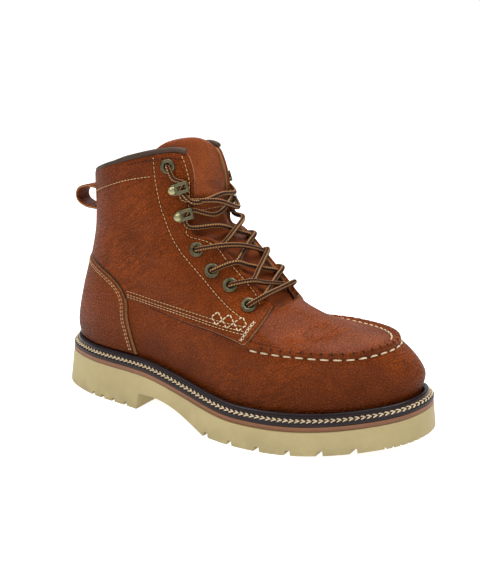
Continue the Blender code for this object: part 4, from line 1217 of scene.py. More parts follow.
def quarter(inner):
    """One quarter with its eyestay, punched for the eyelets; returns its seams."""
    counter_part = counter_line(2 * GAP)
    start = stay_station([float(np.interp(0.35, *counter_part.T))], half_stay + GAP)[0]
    level_start = float(np.interp(start, *counter_part.T))
    lower = edge_line(QUARTER_EDGE, 0.0, 90)
    side = counter_part[counter_part[:, 0] > start]
    side = side[last(*side.T)[:, 2] > lower[0, 1] + 0.001]
    front = to_last(lower)
    front = front[front[:, 1] < 4.97]
    levels = np.linspace(RIM_LEVEL, level_start, 20)
    stay = np.stack([stay_station(levels, half_stay + GAP), levels], 1)
    rim = np.stack([np.linspace(front[-1, 0], 0.0, 260), np.full(260, RIM_LEVEL)], 1)
    rim = rim[rim[:, 0] > stay[0, 0]]
    border = np.vstack([[[start, level_start]], side, front, rim, stay[:-1]])
    holes = []
    turn = full_turn(20)[:, None]
    for (_holder, far), (axes, spot, kind) in PLACES.items():
        if kind == "eyelet" and not far:
            on, up, _normal = last_axes(*spot)
            ring = (axes[0] * np.cos(turn) + axes[1] * np.sin(turn)) * (EYELET_BARREL + 0.0004)
            holes.append(spot + np.linalg.lstsq(np.stack([on[0], up[0]], 1), ring.T, rcond=None)[0].T)
    seams = [side_line(line) for line in (EYESTAY_LINE, COLLAR_LINE, FRONT_ROW, NOTCH_ROW, *LOWER_ROWS)]
    # The counter's edge, along which a painted shadow falls on the quarter.
    shadow_line = counter_line(0.0008)
    if inner:
        border, shadow_line = flip(border), flip(shadow_line)
        holes, seams = [flip(hole) for hole in holes], [flip(seam) for seam in seams]
    name = "medial" if inner else "lateral"
    item = panel("quarter_leather_" + name, border, QUARTER_THICKNESS, holes, seams, 0.0007, [shadow_line])
    finish_piece(item, "tan_leather", "quarter_" + name)
    return seams


quarter_seams = quarter(False) + quarter(True)

# %% [markdown]
# ## Shade on the upper
#
# Shade is painted into the groove beside the moc seam, and a thin painted shadow lies where an overlay ends.
# Each point of the upper stores how far it is from both, so the leather can darken there.

# %% Marks on the upper
level_of = np.repeat([level for level, _lift in upper_rows], len(around))
side_of = np.tile(np.minimum(around, TURN - around), len(upper_rows))
to_stitch, to_groove = np.abs(level_of - STITCH_LEVEL) * 22.0, np.abs(level_of - RIDGE_LEVEL - 0.15) * 14.0
# Painted shade along the moc seam's stitch line and in the groove inside its ridge.
set_value(upper, "seam", np.minimum(to_stitch, to_groove) + np.where(side_of < 5.0, 20.0, 0.0))
# Painted shadow: distances to the edges of the quarters and the counter that lie on the upper.
hem = to_last(edge_line(QUARTER_EDGE, -0.0007, 90))
counter_edge = counter_line(0.0007)
cover = [hem, flip(hem), counter_edge, counter_edge * [-1, 1]]
hidden_lines = np.concatenate([last(*even_loop(line, 0.0007, False).T) for line in cover])
set_value(upper, "gap_shadow", nearest(upper_points, hidden_lines) * 1000)
finish_piece(upper, "tan_leather", "upper")
print("marks stored")

# %% [markdown]
# ## Sole
#
# The rubber is moulded, so its corners are soft and its side is smooth, apart from the lugs and a fine
# saw-tooth round the toe. It is cut like the real mould: a side view meets a plan, and the slots are taken
# away. A small bevel rounds all corners, since an edge without one never catches light.

# %% Outsole, midsole and insole board
ARCH = ((0.302, 0.00), (0.307, 1.00), (0.375, 1.06), (0.430, 0.86), (0.480, 0.46), (0.530, 0.00))
FOREFOOT_LUGS = (0.540, 0.610, 0.680, 0.750, 0.818, 0.885)
HEEL_LUGS = (0.150, 0.185, 0.222, 0.264)
PLAN_LOW, PLAN_HIGH = -0.02, 0.08
TOE_GROOVES = (7.45, 10.75, 0.0047)


def prism(profile, half_width):
    """Closed body: a side-view outline drawn out to both sides."""
    profile = np.asarray(profile)
    count = len(profile)
    left = np.column_stack([profile[:, 0], np.full(count, -half_width), profile[:, 1]])
    right = np.column_stack([profile[:, 0], np.full(count, half_width), profile[:, 1]])
    faces = [tuple(range(count)), tuple(range(2 * count - 1, count - 1, -1))]
    faces += [(k, k + count, (k + 1) % count + count, (k + 1) % count) for k in range(count)]
    return np.concatenate([left, right]), faces


def closed_body(name, vertices, faces, materials=()):
    item = add_object(name, vertices, faces, materials, smooth=False)
    face_outwards(item)
    return item


def cut(item, other, operation):
    """Apply an exact boolean and drop the cutter."""
    modifier = item.modifiers.new("cut", "BOOLEAN")
    modifier.operation, modifier.solver, modifier.object = operation, "EXACT", other
    shape = bpy.data.meshes.new_from_object(item.evaluated_get(bpy.context.evaluated_depsgraph_get()))
    item.modifiers.clear()
    item.data = shape
    bpy.data.objects.remove(other, do_unlink=True)


def sole_layer(name, low_inset, top_inset, profile, material):
    """A layer of the sole: its side view drawn out across, and met with its plan."""
    stations = even_stations(0.0, 0.0024)[:-1]
    count = len(stations)
    loops = [np.column_stack([outline(stations, inset), np.full(count, z)])
             for inset, z in ((low_inset, PLAN_LOW), (top_inset, PLAN_HIGH))]
    faces = [tuple(range(count)), tuple(range(2 * count - 1, count - 1, -1))]
    faces += grid_faces(2, count, wrap_columns=True).tolist()
    vertices, sides = prism(profile, 0.09)
    item = closed_body(name, vertices + SHIFT, sides, [material])
    cut(item, closed_body("plan", np.concatenate(loops) + SHIFT, faces), "INTERSECT")
    return item


def soften(item, width):
    bevel = item.modifiers.new("soft corners", "BEVEL")
    bevel.width, bevel.segments, bevel.angle_limit = width, 2, math.radians(40)
    bevel.use_clamp_overlap = True
    item.data.shade_smooth()
    item.data.set_sharp_from_angle(angle=math.radians(38))


share = np.concatenate([[-0.01], np.linspace(0.02, 0.98, 60) * SOLE_LENGTH, [SOLE_LENGTH + 0.01]])
heel_round = [(-0.01, 0.0070), (0.0, 0.0070), (0.0006, 0.0042), (0.0020, 0.0018), (0.0050, 0.0)]
arch_points = [(a * SOLE_LENGTH, h * ARCH_CLEARANCE) for a, h in ARCH]
arch = arch_points[:2] + [(u, max(z, 0.0)) for u, z in through(arch_points[1:], np.linspace(0, 4, 21))[1:]]
front = share[share > arch[-1][0] + 0.006]
under = np.array(heel_round + arch + [(u, float(sole_bottom(u))) for u in front])
profile = np.concatenate([under, np.column_stack([share, sole_top(share)])[::-1]])
slope = SOLE_FLARE / HEEL_HEIGHT
outsole = sole_layer("outsole_rubber", slope * (PLAN_LOW - HEEL_HEIGHT), slope * (PLAN_HIGH - HEEL_HEIGHT),
                     profile, CREAM_RUBBER)


def slot_boxes():
    """Slots between the lugs, and the short grooves of the toe."""
    vertices, faces = [], []

    def box(middle, ahead, length, width, low, high, taper):
        ahead = np.array([*ahead, 0.0])
        beside = np.array([-ahead[1], ahead[0], 0.0])
        first = len(vertices)
        for z, part in ((low, 1.35), (high, taper)):
            for a, b in ((-1, -1), (1, -1), (1, 1), (-1, 1)):
                corner = beside * a * width * part / 2 + ahead * b * length / 2
                vertices.append(np.array([*middle, z]) + corner)
        faces.extend(tuple(first + k for k in cell) for cell in
                     ((0, 3, 2, 1), (4, 5, 6, 7), (0, 1, 5, 4), (1, 2, 6, 5), (2, 3, 7, 6), (3, 0, 4, 7)))

    edge_plan = outline(ALL_ROUND, 0.0)
    toe = len(edge_plan) // 2
    outer, inner = edge_plan[:toe + 1], edge_plan[toe:][::-1]
    for shares, width in ((FOREFOOT_LUGS, LUG_WIDTH), (HEEL_LUGS, HEEL_LUG_WIDTH)):
        for part in shares:
            u = part * SOLE_LENGTH
            floor_at = float(sole_bottom(u))
            for side, inwards in ((outer, 1.0), (inner, -1.0)):
                edge = np.interp(u, side[:, 0], side[:, 1])
                ends = (edge - inwards * 0.008, edge + inwards * LUG_REACH)
                box((u, sum(ends) / 2), (0, 1), abs(ends[1] - ends[0]), width,
                    floor_at - 0.006, floor_at + LUG_DEPTH * width / LUG_WIDTH, 0.62)
    run = run_along(edge_plan)
    first, final = (np.interp(end, ALL_ROUND, run) for end in TOE_GROOVES[:2])
    for where in np.linspace(first, final, int((final - first) / TOE_GROOVES[2])):
        station = np.interp(where, run, ALL_ROUND)
        edge, inner_edge = outline(station, 0.0)[0], outline(station, 0.004)[0]
        z = float(sole_bottom(edge[0]))
        box(edge, unit(inner_edge - edge), 0.009, 0.0030, z - 0.004, z + 0.0021, 0.12)
    return np.array(vertices), faces


vertices, faces = slot_boxes()
cut(outsole, closed_body("slots", vertices + SHIFT, faces), "DIFFERENCE")
soften(outsole, 0.00045)
finish_piece(outsole, "cream_rubber", "outsole")

layers = (
    # name, inset, lift over the outsole, thickness, material, slot
    ("midsole_board", WELT_SETBACK, GAP, MIDSOLE_THICKNESS - GAP, MIDSOLE_BROWN, "brown_midsole"),
    ("insole_board", WELT_LEDGE + WALL + INSOLE_CLEARANCE, MIDSOLE_THICKNESS + GAP, INSOLE_THICKNESS,
     LINING, "insole_leather"),
)
for name, inset, lift, thick, material, slot in layers:
    low = np.column_stack([share, sole_top(share) + lift])
    layer = sole_layer(name, inset, inset, np.concatenate([low, (low + [0, thick])[::-1]]), material)
    soften(layer, 0.0004)
    finish_piece(layer, slot, name.split("_")[0])
print("sole parts built")

# %% [markdown]
# ## Storm welt and its lock stitch
#
# The welt is one strip: a ribbed outer edge, a ledge that falls a little outwards and a round rib that
# keeps water from the seam. It is a section swept round the sole's plan. Heavy cream thread lies on the
# ledge as a chain.

# %% Welt
inner_inset = WELT_LEDGE - OVERLAY_GAP - GAP / 2
welt_stations = even_stations(0.0, 0.00048)[:-1]
rib_wave = 0.5 + 0.5 * np.cos(np.arange(len(welt_stations)) * 2 * math.pi / 4)
foot_of_rib = inner_inset - RIB_WIDTH
RIBBING = 0.00034
section = [
    # inset, height over the midsole, share of the ribbing
    (inner_inset, GAP, 0), (WELT_SETBACK + 0.0003, GAP, 0), (WELT_SETBACK, 0.0006, 1),
    (WELT_SETBACK, 0.0014, 1), (WELT_SETBACK, 0.0022, 1), (WELT_SETBACK + 0.0002, 0.0026, 1),
    (WELT_SETBACK + 0.0007, 0.00285, 0),
    (WELT_SETBACK + 0.0016, 0.0032, 0), (foot_of_rib - 0.0003, 0.0041, 0),
]
for t in np.linspace(0.0, math.pi, 13)[:-2]:
    rib_height = (RIB_HEIGHT - 0.0003) * math.sin(t) ** 0.8 * (1 - 0.16 * (t / math.pi))
    section.append((foot_of_rib + RIB_WIDTH * (0.5 - 0.5 * math.cos(t)), 0.0044 + rib_height, 0))
section.append((inner_inset, 0.0062, 0))
loops = []
for inset, height, ribbed in section:
    plan_ring = outline(welt_stations, inset + ribbed * RIBBING * rib_wave)
    loops.append(np.column_stack([plan_ring, bed(plan_ring[:, 0]) + height]) + SHIFT)
welt_faces = grid_faces(len(section), len(welt_stations), True, True)[:, ::-1]
welt = add_object("storm_welt", np.array(loops).reshape(-1, 3), welt_faces, [WELT_DARK])
finish_piece(welt, "dark_welt", "welt")

ledge_stations = even_stations(0.0, 0.001)
ledge_line = outline(ledge_stations, 0.0025)
ledge_line = np.column_stack([ledge_line, bed(ledge_line[:, 0]) + 0.0037]) + SHIFT
inward = outline(ledge_stations, 0.004) - outline(ledge_stations, 0.0)
inward = unit(np.column_stack([inward, np.zeros(len(ledge_stations))]))
ledge_normal = unit(np.array([0.0, 0.0, 1.0]) - inward * 0.5)
chain = [dict(points=ledge_line, normals=ledge_normal, pitch=0.0040, length=0.0038, radius=0.00052,
              slant=side * 0.42, offset=-side * 0.00066) for side in (1, -1)]
finish_piece(sew("welt_lock_stitch", chain, CREAM_THREAD), "dark_welt")
print("welt and lock stitch built")

# %% [markdown]
# ## Tongue
#
# The tongue is the softest leather of the boot. It bulges between the eyestays and ends in a rounded top.
# Above its cross seam it is lightly padded; below lies a smooth, darker gusset. It is lofted row by row
# between the two eyestays, so it stays tucked under both.

# %% Tongue
INSTEP_SHIFT = -0.080
TONGUE_TOP = np.array([0.16, 0.52, 0.80, 0.10, -0.06])
TONGUE = ((5.20, 0.628, 0.424), (4.80, 0.600, 0.478), (4.30, 0.560, 0.546), (3.95, 0.526, 0.612),
          (3.75, 0.489, 0.700), (3.62, 0.467, 0.774), (3.50, 0.448, 0.855), (3.32, 0.427, 0.965))
SEAM_AT = 0.1500


def wall_point(station, inset, depth):
    """Point `inset` down from the rim at a station, `depth` inside the leather's face."""
    levels = np.linspace(5.0, 3.6, 57)
    level = np.interp(inset, run_along(last(np.full(57, station), levels)), levels)
    return (last(station, level) - last_axes(station, level)[2] * depth)[0]


tongue_depth = WALL + TONGUE_CLEARANCE


def tongue_row(edges, middle):
    """Two points under the outer eyestay, the middle, and two under the inner eyestay."""
    outer = [wall_point(station, inset, tongue_depth) for station, inset in edges]
    inner = [wall_point(TURN - station, inset, tongue_depth) for station, inset in edges[::-1]]
    return np.array(outer + [middle] + inner)


tongue_rows = []
for inset, level in ((0.0165, 4.62), (0.0090, 4.82)):
    middle = (last(TOE, level) - last_axes(TOE, level)[2] * tongue_depth)[0]
    tongue_rows.append(tongue_row(((5.10, inset), (5.55, inset)), middle))
for station, along, height in TONGUE:
    u = along * SOLE_LENGTH
    middle = np.array([u, INSTEP_SHIFT * HALF_BALL, bed(u) + height * SHAFT_HEIGHT]) + SHIFT
    tongue_rows.append(tongue_row(((station, 0.011), (station, 0.0015)), middle))
tongue_rows.append(tongue_rows[-1] + (tongue_rows[-1] - tongue_rows[-2]) * TONGUE_TOP[:, None])
tongue_frame = np.array(tongue_rows)
# Towards its top the tongue spreads behind the collar on the outer side
for row, column, station, inset, lift in (
        (-1, 0, 2.86, 0.0, (0.0, 0.0, 0.0006)), (-1, 1, 3.10, 0.0, (0.0, 0.0020, 0.0066)),
        (-2, 0, 2.92, 0.0100, (0, 0, 0)), (-2, 1, 3.18, 0.0060, (0, 0, 0)), (-3, 0, 3.30, 0.0220, (0, 0, 0))):
    tongue_frame[row, column] = wall_point(station, inset, tongue_depth) + np.array(lift)
TONGUE_ROWS, TONGUE_COLUMNS = 150, 64
coarse = np.array([through(row, np.linspace(0.0, 4.0, TONGUE_COLUMNS)) for row in tongue_frame])
face = through(coarse, np.linspace(0, len(coarse) - 1, TONGUE_ROWS))
row_step, column_step = np.gradient(face, axis=0), np.gradient(face, axis=1)
face_normal = unit(np.cross(column_step, row_step))
face_normal *= np.sign(face_normal @ np.array([1.0, 0.0, 0.6]))[..., None]
across = np.linspace(-1, 1, TONGUE_COLUMNS)[None, :]
height = face[:, :, 2] + 0.0014 * across ** 2
pad = smooth_step((height - SEAM_AT) / 0.0022) * (1 - np.abs(across) ** 6)
groove = np.exp(-((height - SEAM_AT + 0.0004) / 0.0009) ** 2)
folds = np.sin(height * 520 + 2.2 * across) * np.exp(-((height - 0.165) / 0.012) ** 2) * (1 - across ** 2)
rolled = np.clip((np.linspace(0, 1, TONGUE_ROWS)[:, None] - 0.975) / 0.025, 0, 1) ** 2
face = face + face_normal * (0.0010 * pad - 0.0006 * groove + 0.00045 * folds - 0.0012 * rolled)[..., None]
cells = grid_faces(TONGUE_ROWS, TONGUE_COLUMNS)
tongue = add_object("tongue_leather", face.reshape(-1, 3), cells, [TONGUE_LEATHER, GUSSET])
set_slots(tongue, height.ravel()[cells[:, 0]] < SEAM_AT - 0.0004)
middle_row, middle_column = TONGUE_ROWS // 2, TONGUE_COLUMNS // 2
middle_cell = tongue.data.polygons[middle_row * (TONGUE_COLUMNS - 1) + middle_column]
if face_normal[middle_row, middle_column] @ np.array(middle_cell.normal) < 0:
    tongue.data.flip_normals()
thick = tongue.modifiers.new("thickness", "SOLIDIFY")
thick.thickness, thick.offset = TONGUE_THICKNESS, -1.0
finish_piece(tongue, "tongue_leather", "tongue")
crest, crest_normal = face[:, middle_column], face_normal[:, middle_column]
columns = np.arange(4, TONGUE_COLUMNS - 4)
picked = [int(np.argmin(np.abs(height[:, c] - SEAM_AT - 0.0022))) for c in columns]
tongue_thread = dict(pitch=0.0026, length=0.0019)
padded = slice(int(TONGUE_ROWS * 0.62), -3)
stitch_rows = [dict(points=face[where], normals=face_normal[where], radius=radius, **tongue_thread)
               for where, radius in (((picked, columns), 0.00030), ((padded, 3), 0.00028),
                                     ((padded, TONGUE_COLUMNS - 4), 0.00028))]
finish_piece(sew("tongue_stitches", stitch_rows, TAN_THREAD), "tongue_leather")
print("tongue built")

# %% [markdown]
# ## Eyelets and hooks
#
# An eyelet is a tube rolled over on both faces of the leather; turned on a lathe it is one profile. A speed
# hook is a strap bent back over itself and held by a domed rivet, so it is a flat ribbon bent along a path.

# %% Brass hardware
FACE = OVERLAY_GAP + QUARTER_THICKNESS


def turned(profile, axes, segments=40):
    """Vertices and faces of a profile (radius, height) turned round a holder's axis."""
    turn = full_turn(segments)[None, :, None]
    profile = np.asarray(profile)
    spokes = np.cos(turn) * axes[0] + np.sin(turn) * axes[1]
    grid = axes[3] + profile[:, 1][:, None, None] * axes[2] + profile[:, 0][:, None, None] * spokes
    return grid.reshape(-1, 3), grid_faces(len(profile), segments, wrap_columns=True)


def ribbon(path, half_width, thickness, side, corner=0.3):
    """A flat strap bent along a path, with rounded corners and closed ends."""
    path = np.asarray(path, float)
    tangent = unit(np.gradient(path, axis=0))
    side = unit(np.broadcast_to(side, path.shape) - tangent * (tangent @ side)[:, None])
    up = np.cross(tangent, side)
    w, h = half_width, thickness / 2
    c = min(h, w) * corner * 2
    section = np.array([(-w, c - h), (c - w, -h), (w - c, -h), (w, c - h),
                        (w, h - c), (w - c, h), (c - w, h), (-w, h - c)])
    grid = path[:, None] + section[None, :, :1] * side[:, None] + section[None, :, 1:] * up[:, None]
    faces = grid_faces(len(path), 8, wrap_columns=True).tolist()
    faces += [tuple(range(8))[::-1], tuple(range(8 * len(path) - 8, 8 * len(path)))]
    return grid.reshape(-1, 3), faces


BACK = -WALL - FACE
WASHER, STRAP = 0.0008, 0.0009
BEND, RAIL, TIP = 0.00185, 0.00115, HOOK_LENGTH - 0.0002
BAR, NOSE = 0.0042, WASHER + BEND * 1.5
DOME = 0.0033
X_AXIS, Y_AXIS = np.array([1.0, 0.0, 0.0]), np.array([0.0, 1.0, 0.0])

lip_middle, lip_half = (EYELET_RADIUS + EYELET_BORE) / 2, (EYELET_RADIUS - EYELET_BORE) / 2
eyelet_profile = [(EYELET_BORE * 0.98, BACK - WASHER), (EYELET_BORE, -WASHER)]
eyelet_profile += [(lip_middle - lip_half * math.cos(t), 0.00005 + EYELET_FLANGE * 1.15 * math.sin(t) ** 0.72)
                   for t in np.linspace(0.0, math.pi, 9)]
washer = [(EYELET_RADIUS, BACK), (EYELET_RADIUS - 0.0003, BACK - WASHER), (EYELET_BORE, BACK - WASHER)]
base_path = [(-0.0004, 0, 0.0006), (0.0016, 0, 0.0006), (0.0040, 0, 0.0006), (TIP, 0, 0.0008)]
rail_path = [(TIP - 0.0008, 0, 0.0008)]
rail_path += [(TIP + BEND * math.cos(t), 0, 0.0008 + BEND + BEND * math.sin(t))
              for t in np.linspace(-math.pi / 2, math.pi / 2, 11)]
rail_path += [(0.0064, 0, 0.0046), (0.0046, 0, 0.0044), (0.0038, 0, 0.0040)]
bar_path = [(0.0040, y * HOOK_WIDTH / 2, BAR) for y in (-1, 0, 1)]
nose_path = [(TIP + BEND * 0.8, y * HOOK_WIDTH / 2, NOSE) for y in (-1, 0, 1)]
HOOK_STRAPS = (
    # path, moved across, half width, thickness, direction of the width
    (base_path, 0.0, HOOK_WIDTH / 2, STRAP, Y_AXIS), (rail_path, HOOK_WIDTH / 2 - RAIL, RAIL, STRAP, Y_AXIS),
    (rail_path, RAIL - HOOK_WIDTH / 2, RAIL, STRAP, Y_AXIS), (bar_path, 0.0, 0.0009, STRAP, X_AXIS),
    (nose_path, 0.0, 0.0010, 0.0012, X_AXIS),
)
dome = [(DOME * 0.96, 0.0008), (DOME, 0.0013)]
dome += [(DOME * math.cos(t) * 0.98, 0.0014 + 0.0021 * math.sin(t))
         for t in np.linspace(0.15, math.pi / 2 - 0.02, 8)]


def joined(parts):
    """One list of vertices and one of faces from many such pairs."""
    vertices, faces, count = [], [], 0
    for points, cells in parts:
        vertices.append(points)
        faces += [tuple(int(k) + count for k in cell) for cell in cells]
        count += len(points)
    return np.vstack(vertices), faces


def make_eyelet(name, axes):
    return add_object(name, *joined([turned(eyelet_profile, axes), turned(washer, axes)]), [BRASS])


def make_hook(name, axes):
    """A base strap and a slotted strap bent back over it, with a domed rivet, tilted towards the top."""
    sense = 1.0 if axes[1][2] > 0 else -1.0
    forward = axes[0] * math.cos(HOOK_TILT) + axes[1] * sense * math.sin(HOOK_TILT)
    axes = np.array([forward, np.cross(axes[2], forward), axes[2], axes[3]])
    straps = [ribbon(np.array(path) + Y_AXIS * across, half, thick, side)
              for path, across, half, thick, side in HOOK_STRAPS]
    strap, strap_faces = joined(straps)
    points, cells = turned(dome, axes, 32)
    cells = cells.tolist() + [tuple(range(len(points) - 32, len(points)))]
    vertices, faces = joined([(points, cells), (axes[3] + strap @ axes[:3], strap_faces)])
    item = add_object(name, vertices, faces, [RIVET_BRASS, BRASS])
    set_slots(item, [0] * len(cells) + [1] * len(strap_faces))
    face_outwards(item)
    item.data.set_sharp_from_angle(angle=math.radians(50))
    return item


for (holder, inner), (axes, _spot, kind) in PLACES.items():
    place = f"{'medial' if inner else 'lateral'}_{holder}"
    lifted = axes.copy()
    lifted[3] = axes[3] + axes[2] * FACE
    if kind == "eyelet":
        finish_piece(make_eyelet("eyelet_brass_" + place, lifted), "antique_brass", "eyelet_" + place)
    else:
        finish_piece(make_hook("lace_hook_brass_" + place, lifted), "antique_brass", "lace_hook_" + place)
print("hardware built")

# %% [markdown]
# ## Collar piping and pull loop
#
# The collar is bound with a narrow dark strip, folded over the rim. The pull loop is a short strap, bent
# round and let into the backstay; its cut edges are light.

# %% Piping and loop
half_collar = np.linspace(0.0, 3.3, 150)
collar = np.concatenate([-half_collar[::-1][:-1], half_collar])
rim = last(collar, 5.0)
rim_normal = last_axes(collar, 5.0)[2]
rise = unit(rim - last(collar, 4.9))
full = smooth_step((np.abs(collar) - 2.2) / 0.35)
path = rim + rim_normal * (FACE - WALL) / 2 + rise * (BINDING_RADIUS * (0.15 + 0.35 * full))[:, None]
binding = tube("collar_piping", path, BINDING_RADIUS * (0.98 + 0.10 * full), 18, BINDING)
finish_piece(binding, "dark_binding", "collar_binding")

loop_column = last(np.zeros(41), np.linspace(4.0, 5.0, 41))
loop_half = LOOP_HEIGHT / 2
loop_middle = loop_column[-1, 2] - LOOP_DROP - loop_half
loop_ends = [loop_middle - loop_half, loop_middle + loop_half]
loop_seat = np.interp(loop_ends, loop_column[:, 2], loop_column[:, 0]).min() - OVERLAY_GAP - COUNTER_THICKNESS
loop_rows = (
    (-0.06, 0.98), (0.20, 1.0), (0.45, 0.98), (0.86, 0.60), (0.96, 0.0), (0.86, -0.50), (0.50, -0.88),
    (0.20, -0.96), (-0.10, -0.98),
)
loop_points = [(loop_seat - LOOP_REACH * a, SHIFT[1], loop_middle - 0.0005 + loop_half * 0.60 * b)
               for a, b in loop_rows]
loop_path = through(loop_points, np.linspace(0, len(loop_rows) - 1, 60))
loop_vertices, loop_faces = ribbon(loop_path, LOOP_WIDTH / 2, LOOP_THICKNESS, Y_AXIS)
loop = add_object("pull_loop_strap", loop_vertices, loop_faces, [RUSSET, RAW_EDGE])
set_slots(loop, [1 if k % 8 in (3, 7) else 0 for k in range(59 * 8)] + [1, 1])
for mark, distance in (("edge", 20.0), ("seam", 20.0), ("low", 90.0), ("gap_shadow", 20.0)):
    set_value(loop, mark, np.full(len(loop_vertices), distance))
loop.data.set_sharp_from_angle(angle=math.radians(40))
finish_piece(loop, "tan_leather", "pull_loop")
print("piping and loop built")

# %% [markdown]
# ## Lace
#
# The lace comes up from under one eyestay, crosses the tongue and goes down through the next eyelet of the
# other side. The short bar at the throat lies on top. Round the hooks it passes under the bent strap. Its
# ends stop inside, at the top eyelets.

# %% Lace paths
BODY = LACE_RADIUS
CORD = LACE_RADIUS * 0.88
LACE_STEP = 0.0011


def holder_at(name, inner):
    return PLACES[(name, inner)][0]


def spot_in(name, inner, ahead, beside, out):
    axes = holder_at(name, inner)
    return axes[3] + axes[0] * ahead + axes[1] * beside + axes[2] * (FACE + out)


RIM_AT = {"1": 5.08, "2": 4.70, "3": 4.30, "4": 4.00, "lower": 3.70, "upper": 3.56, "5": 3.45}


def rim_point(name, inner, lift, past=0.0):
    """Point at the eyestay's front edge beside a holder; `lift` above (or below) the leather's face."""
    station = TURN - RIM_AT[name] if inner else RIM_AT[name]
    edge = last(station, 4.99)[0]
    normal = last_axes(station, 4.99)[2][0]
    out = unit(edge - last(station, 4.9)[0])
    return edge + normal * lift + out * past


def over_tongue(first, second, lift=0.0, share=0.5):
    middle = first * (1 - share) + second * share
    near = int(np.clip(np.argmin(np.linalg.norm(crest - middle, axis=1)), 1, len(crest) - 2))
    normal = crest_normal[near]
    need = np.dot(crest[near] - middle, normal) + BODY + 0.0005 + lift
    return middle + normal * max(need, 0.0)


def eyelet_down(name, inner):
    """From above an eyelet down through it."""
    return [spot_in(name, inner, ahead, 0.0, out)
            for ahead, out in ((0.0008, BODY * 0.75), (0.0, -0.0012), (0.0, -WALL - 0.0030))]


def under_edge(name, inner):
    """From below an eyelet forward, out from under the eyestay's edge."""
    return [spot_in(name, inner, 0.0045, 0.0, -WALL - 0.0042), rim_point(name, inner, -WALL * 0.9, 0.0012)]


def upward(name, inner):
    """Sense of a holder's Y axis that points up."""
    return 1 if holder_at(name, inner)[1][2] > 0 else -1


def cross(start_name, end_name, from_inner, lift=0.0):
    """Out from under one side, over the tongue and over the other eyestay's edge."""
    start = rim_point(start_name, from_inner, -WALL * 0.9, 0.0012)
    end = rim_point(end_name, not from_inner, FACE + BODY * 0.95)
    return [over_tongue(start, end, lift, 0.30), over_tongue(start, end, lift, 0.68), end]


def around_hook(name, inner):
    """Up under the bent strap of a hook, in front of its rivet."""
    sense = upward(name, inner)
    return [spot_in(name, inner, ahead, sense * beside, BODY * out) for ahead, beside, out in (
        (0.0082, -0.0052, 0.9), (0.0062, 0.0, 0.9), (0.0082, 0.0056, 1.2))]


def hook_cross(start_name, end_name, from_inner, lift):
    start = rim_point(start_name, from_inner, FACE + BODY)
    end = rim_point(end_name, not from_inner, FACE + BODY)
    return [over_tongue(start, end, lift, 0.25), over_tongue(start, end, lift, 0.75)]


bar_start, bar_end = (rim_point("1", inner, FACE + BODY * 1.2) for inner in (False, True))
bar_middle = over_tongue(bar_start, bar_end)
strands = {}
for first_side in (False, True):
    side = first_side
    over = 2 * BODY if first_side else 0.0
    points = [bar_middle, bar_end if side else bar_start] + eyelet_down("1", side) + under_edge("1", side)
    for low, high in (("1", "2"), ("2", "3"), ("3", "4")):
        points += cross(low, high, side, over * (0.6 if low == "1" else 1))
        side = not side
        points += eyelet_down(high, side) + under_edge(high, side)
    start, end = rim_point("4", side, -WALL * 0.9, 0.0012), rim_point("lower", not side, FACE + BODY)
    points += [over_tongue(start, end, over, 0.30), over_tongue(start, end, over, 0.72)]
    side = not side
    points += around_hook("lower", side) + hook_cross("lower", "upper", side, over)
    side = not side
    points += around_hook("upper", side)
    sense = upward("5", side)
    points += [spot_in("5", side, ahead, -sense * beside, out) for ahead, beside, out in (
        (0.0050, 0.0085, BODY), (0.0012, 0.0020, BODY * 0.9), (0.0, 0.0, BODY * 0.2), (0.0, 0.0, -0.0020),
        (0.0, 0.0, -WALL - 0.0050))]
    strands[first_side] = np.array(points)
for first_side, name in ((False, "lace_lateral_start"), (True, "lace_medial_start")):
    points = strands[first_side]
    fine_path = resample(through(points, np.linspace(0, len(points) - 1, len(points) * 9)), LACE_STEP)
    item = tube(name, fine_path, CORD, 16, LACE)
    finish_piece(item, "lace_cord", *(("lace_crossings",) if not first_side else ()))
near, far = (rim_point("upper", inner, FACE + BODY * 1.3) for inner in (False, True))
bridge = [spot_in("upper", False, 0.0062, 0.0, BODY), near, over_tongue(near, far, 0.0010), far,
          spot_in("upper", True, 0.0062, 0.0, BODY)]
bridge_path = resample(through(bridge, np.linspace(0, len(bridge) - 1, 40)), LACE_STEP)
finish_piece(tube("lace_bridge", bridge_path, CORD, 16, LACE), "lace_cord")
print("lace built")

# %% [markdown]
# ## Stitching
#
# Rows of thread give the boot its scale. The eye counts them, so pitch and length follow the photograph:
# fine rows on the overlays, long heavy dashes under the moc seam, and small dark marks of painted shade in
# the nicks where the plug's edge is gathered.

# %% Stitches
fine = dict(pitch=0.0030, length=0.0022, radius=0.00030)
rows = []
for seam in quarter_seams:
    spots = even_loop(seam, 0.0010, False)
    rows.append(thread_row(spots[spots[:, 1] < 4.97], FACE - 0.00010, **fine))
for seam in counter_seams + stay_seams:
    rows.append(thread_row(even_loop(seam, 0.0010, False), OVERLAY_GAP + COUNTER_THICKNESS - 0.00010, **fine))
finish_piece(sew("overlay_stitches", rows, TAN_THREAD), "tan_leather")


def level_row(level, first, final, shift, lift, **thread):
    """A row of threads along one level, `shift` above the level that spaces it."""
    stations = even_stations(level, 0.0010, first, final)
    return thread_row(np.stack([stations, np.full(len(stations), level + shift)], 1), lift, **thread)


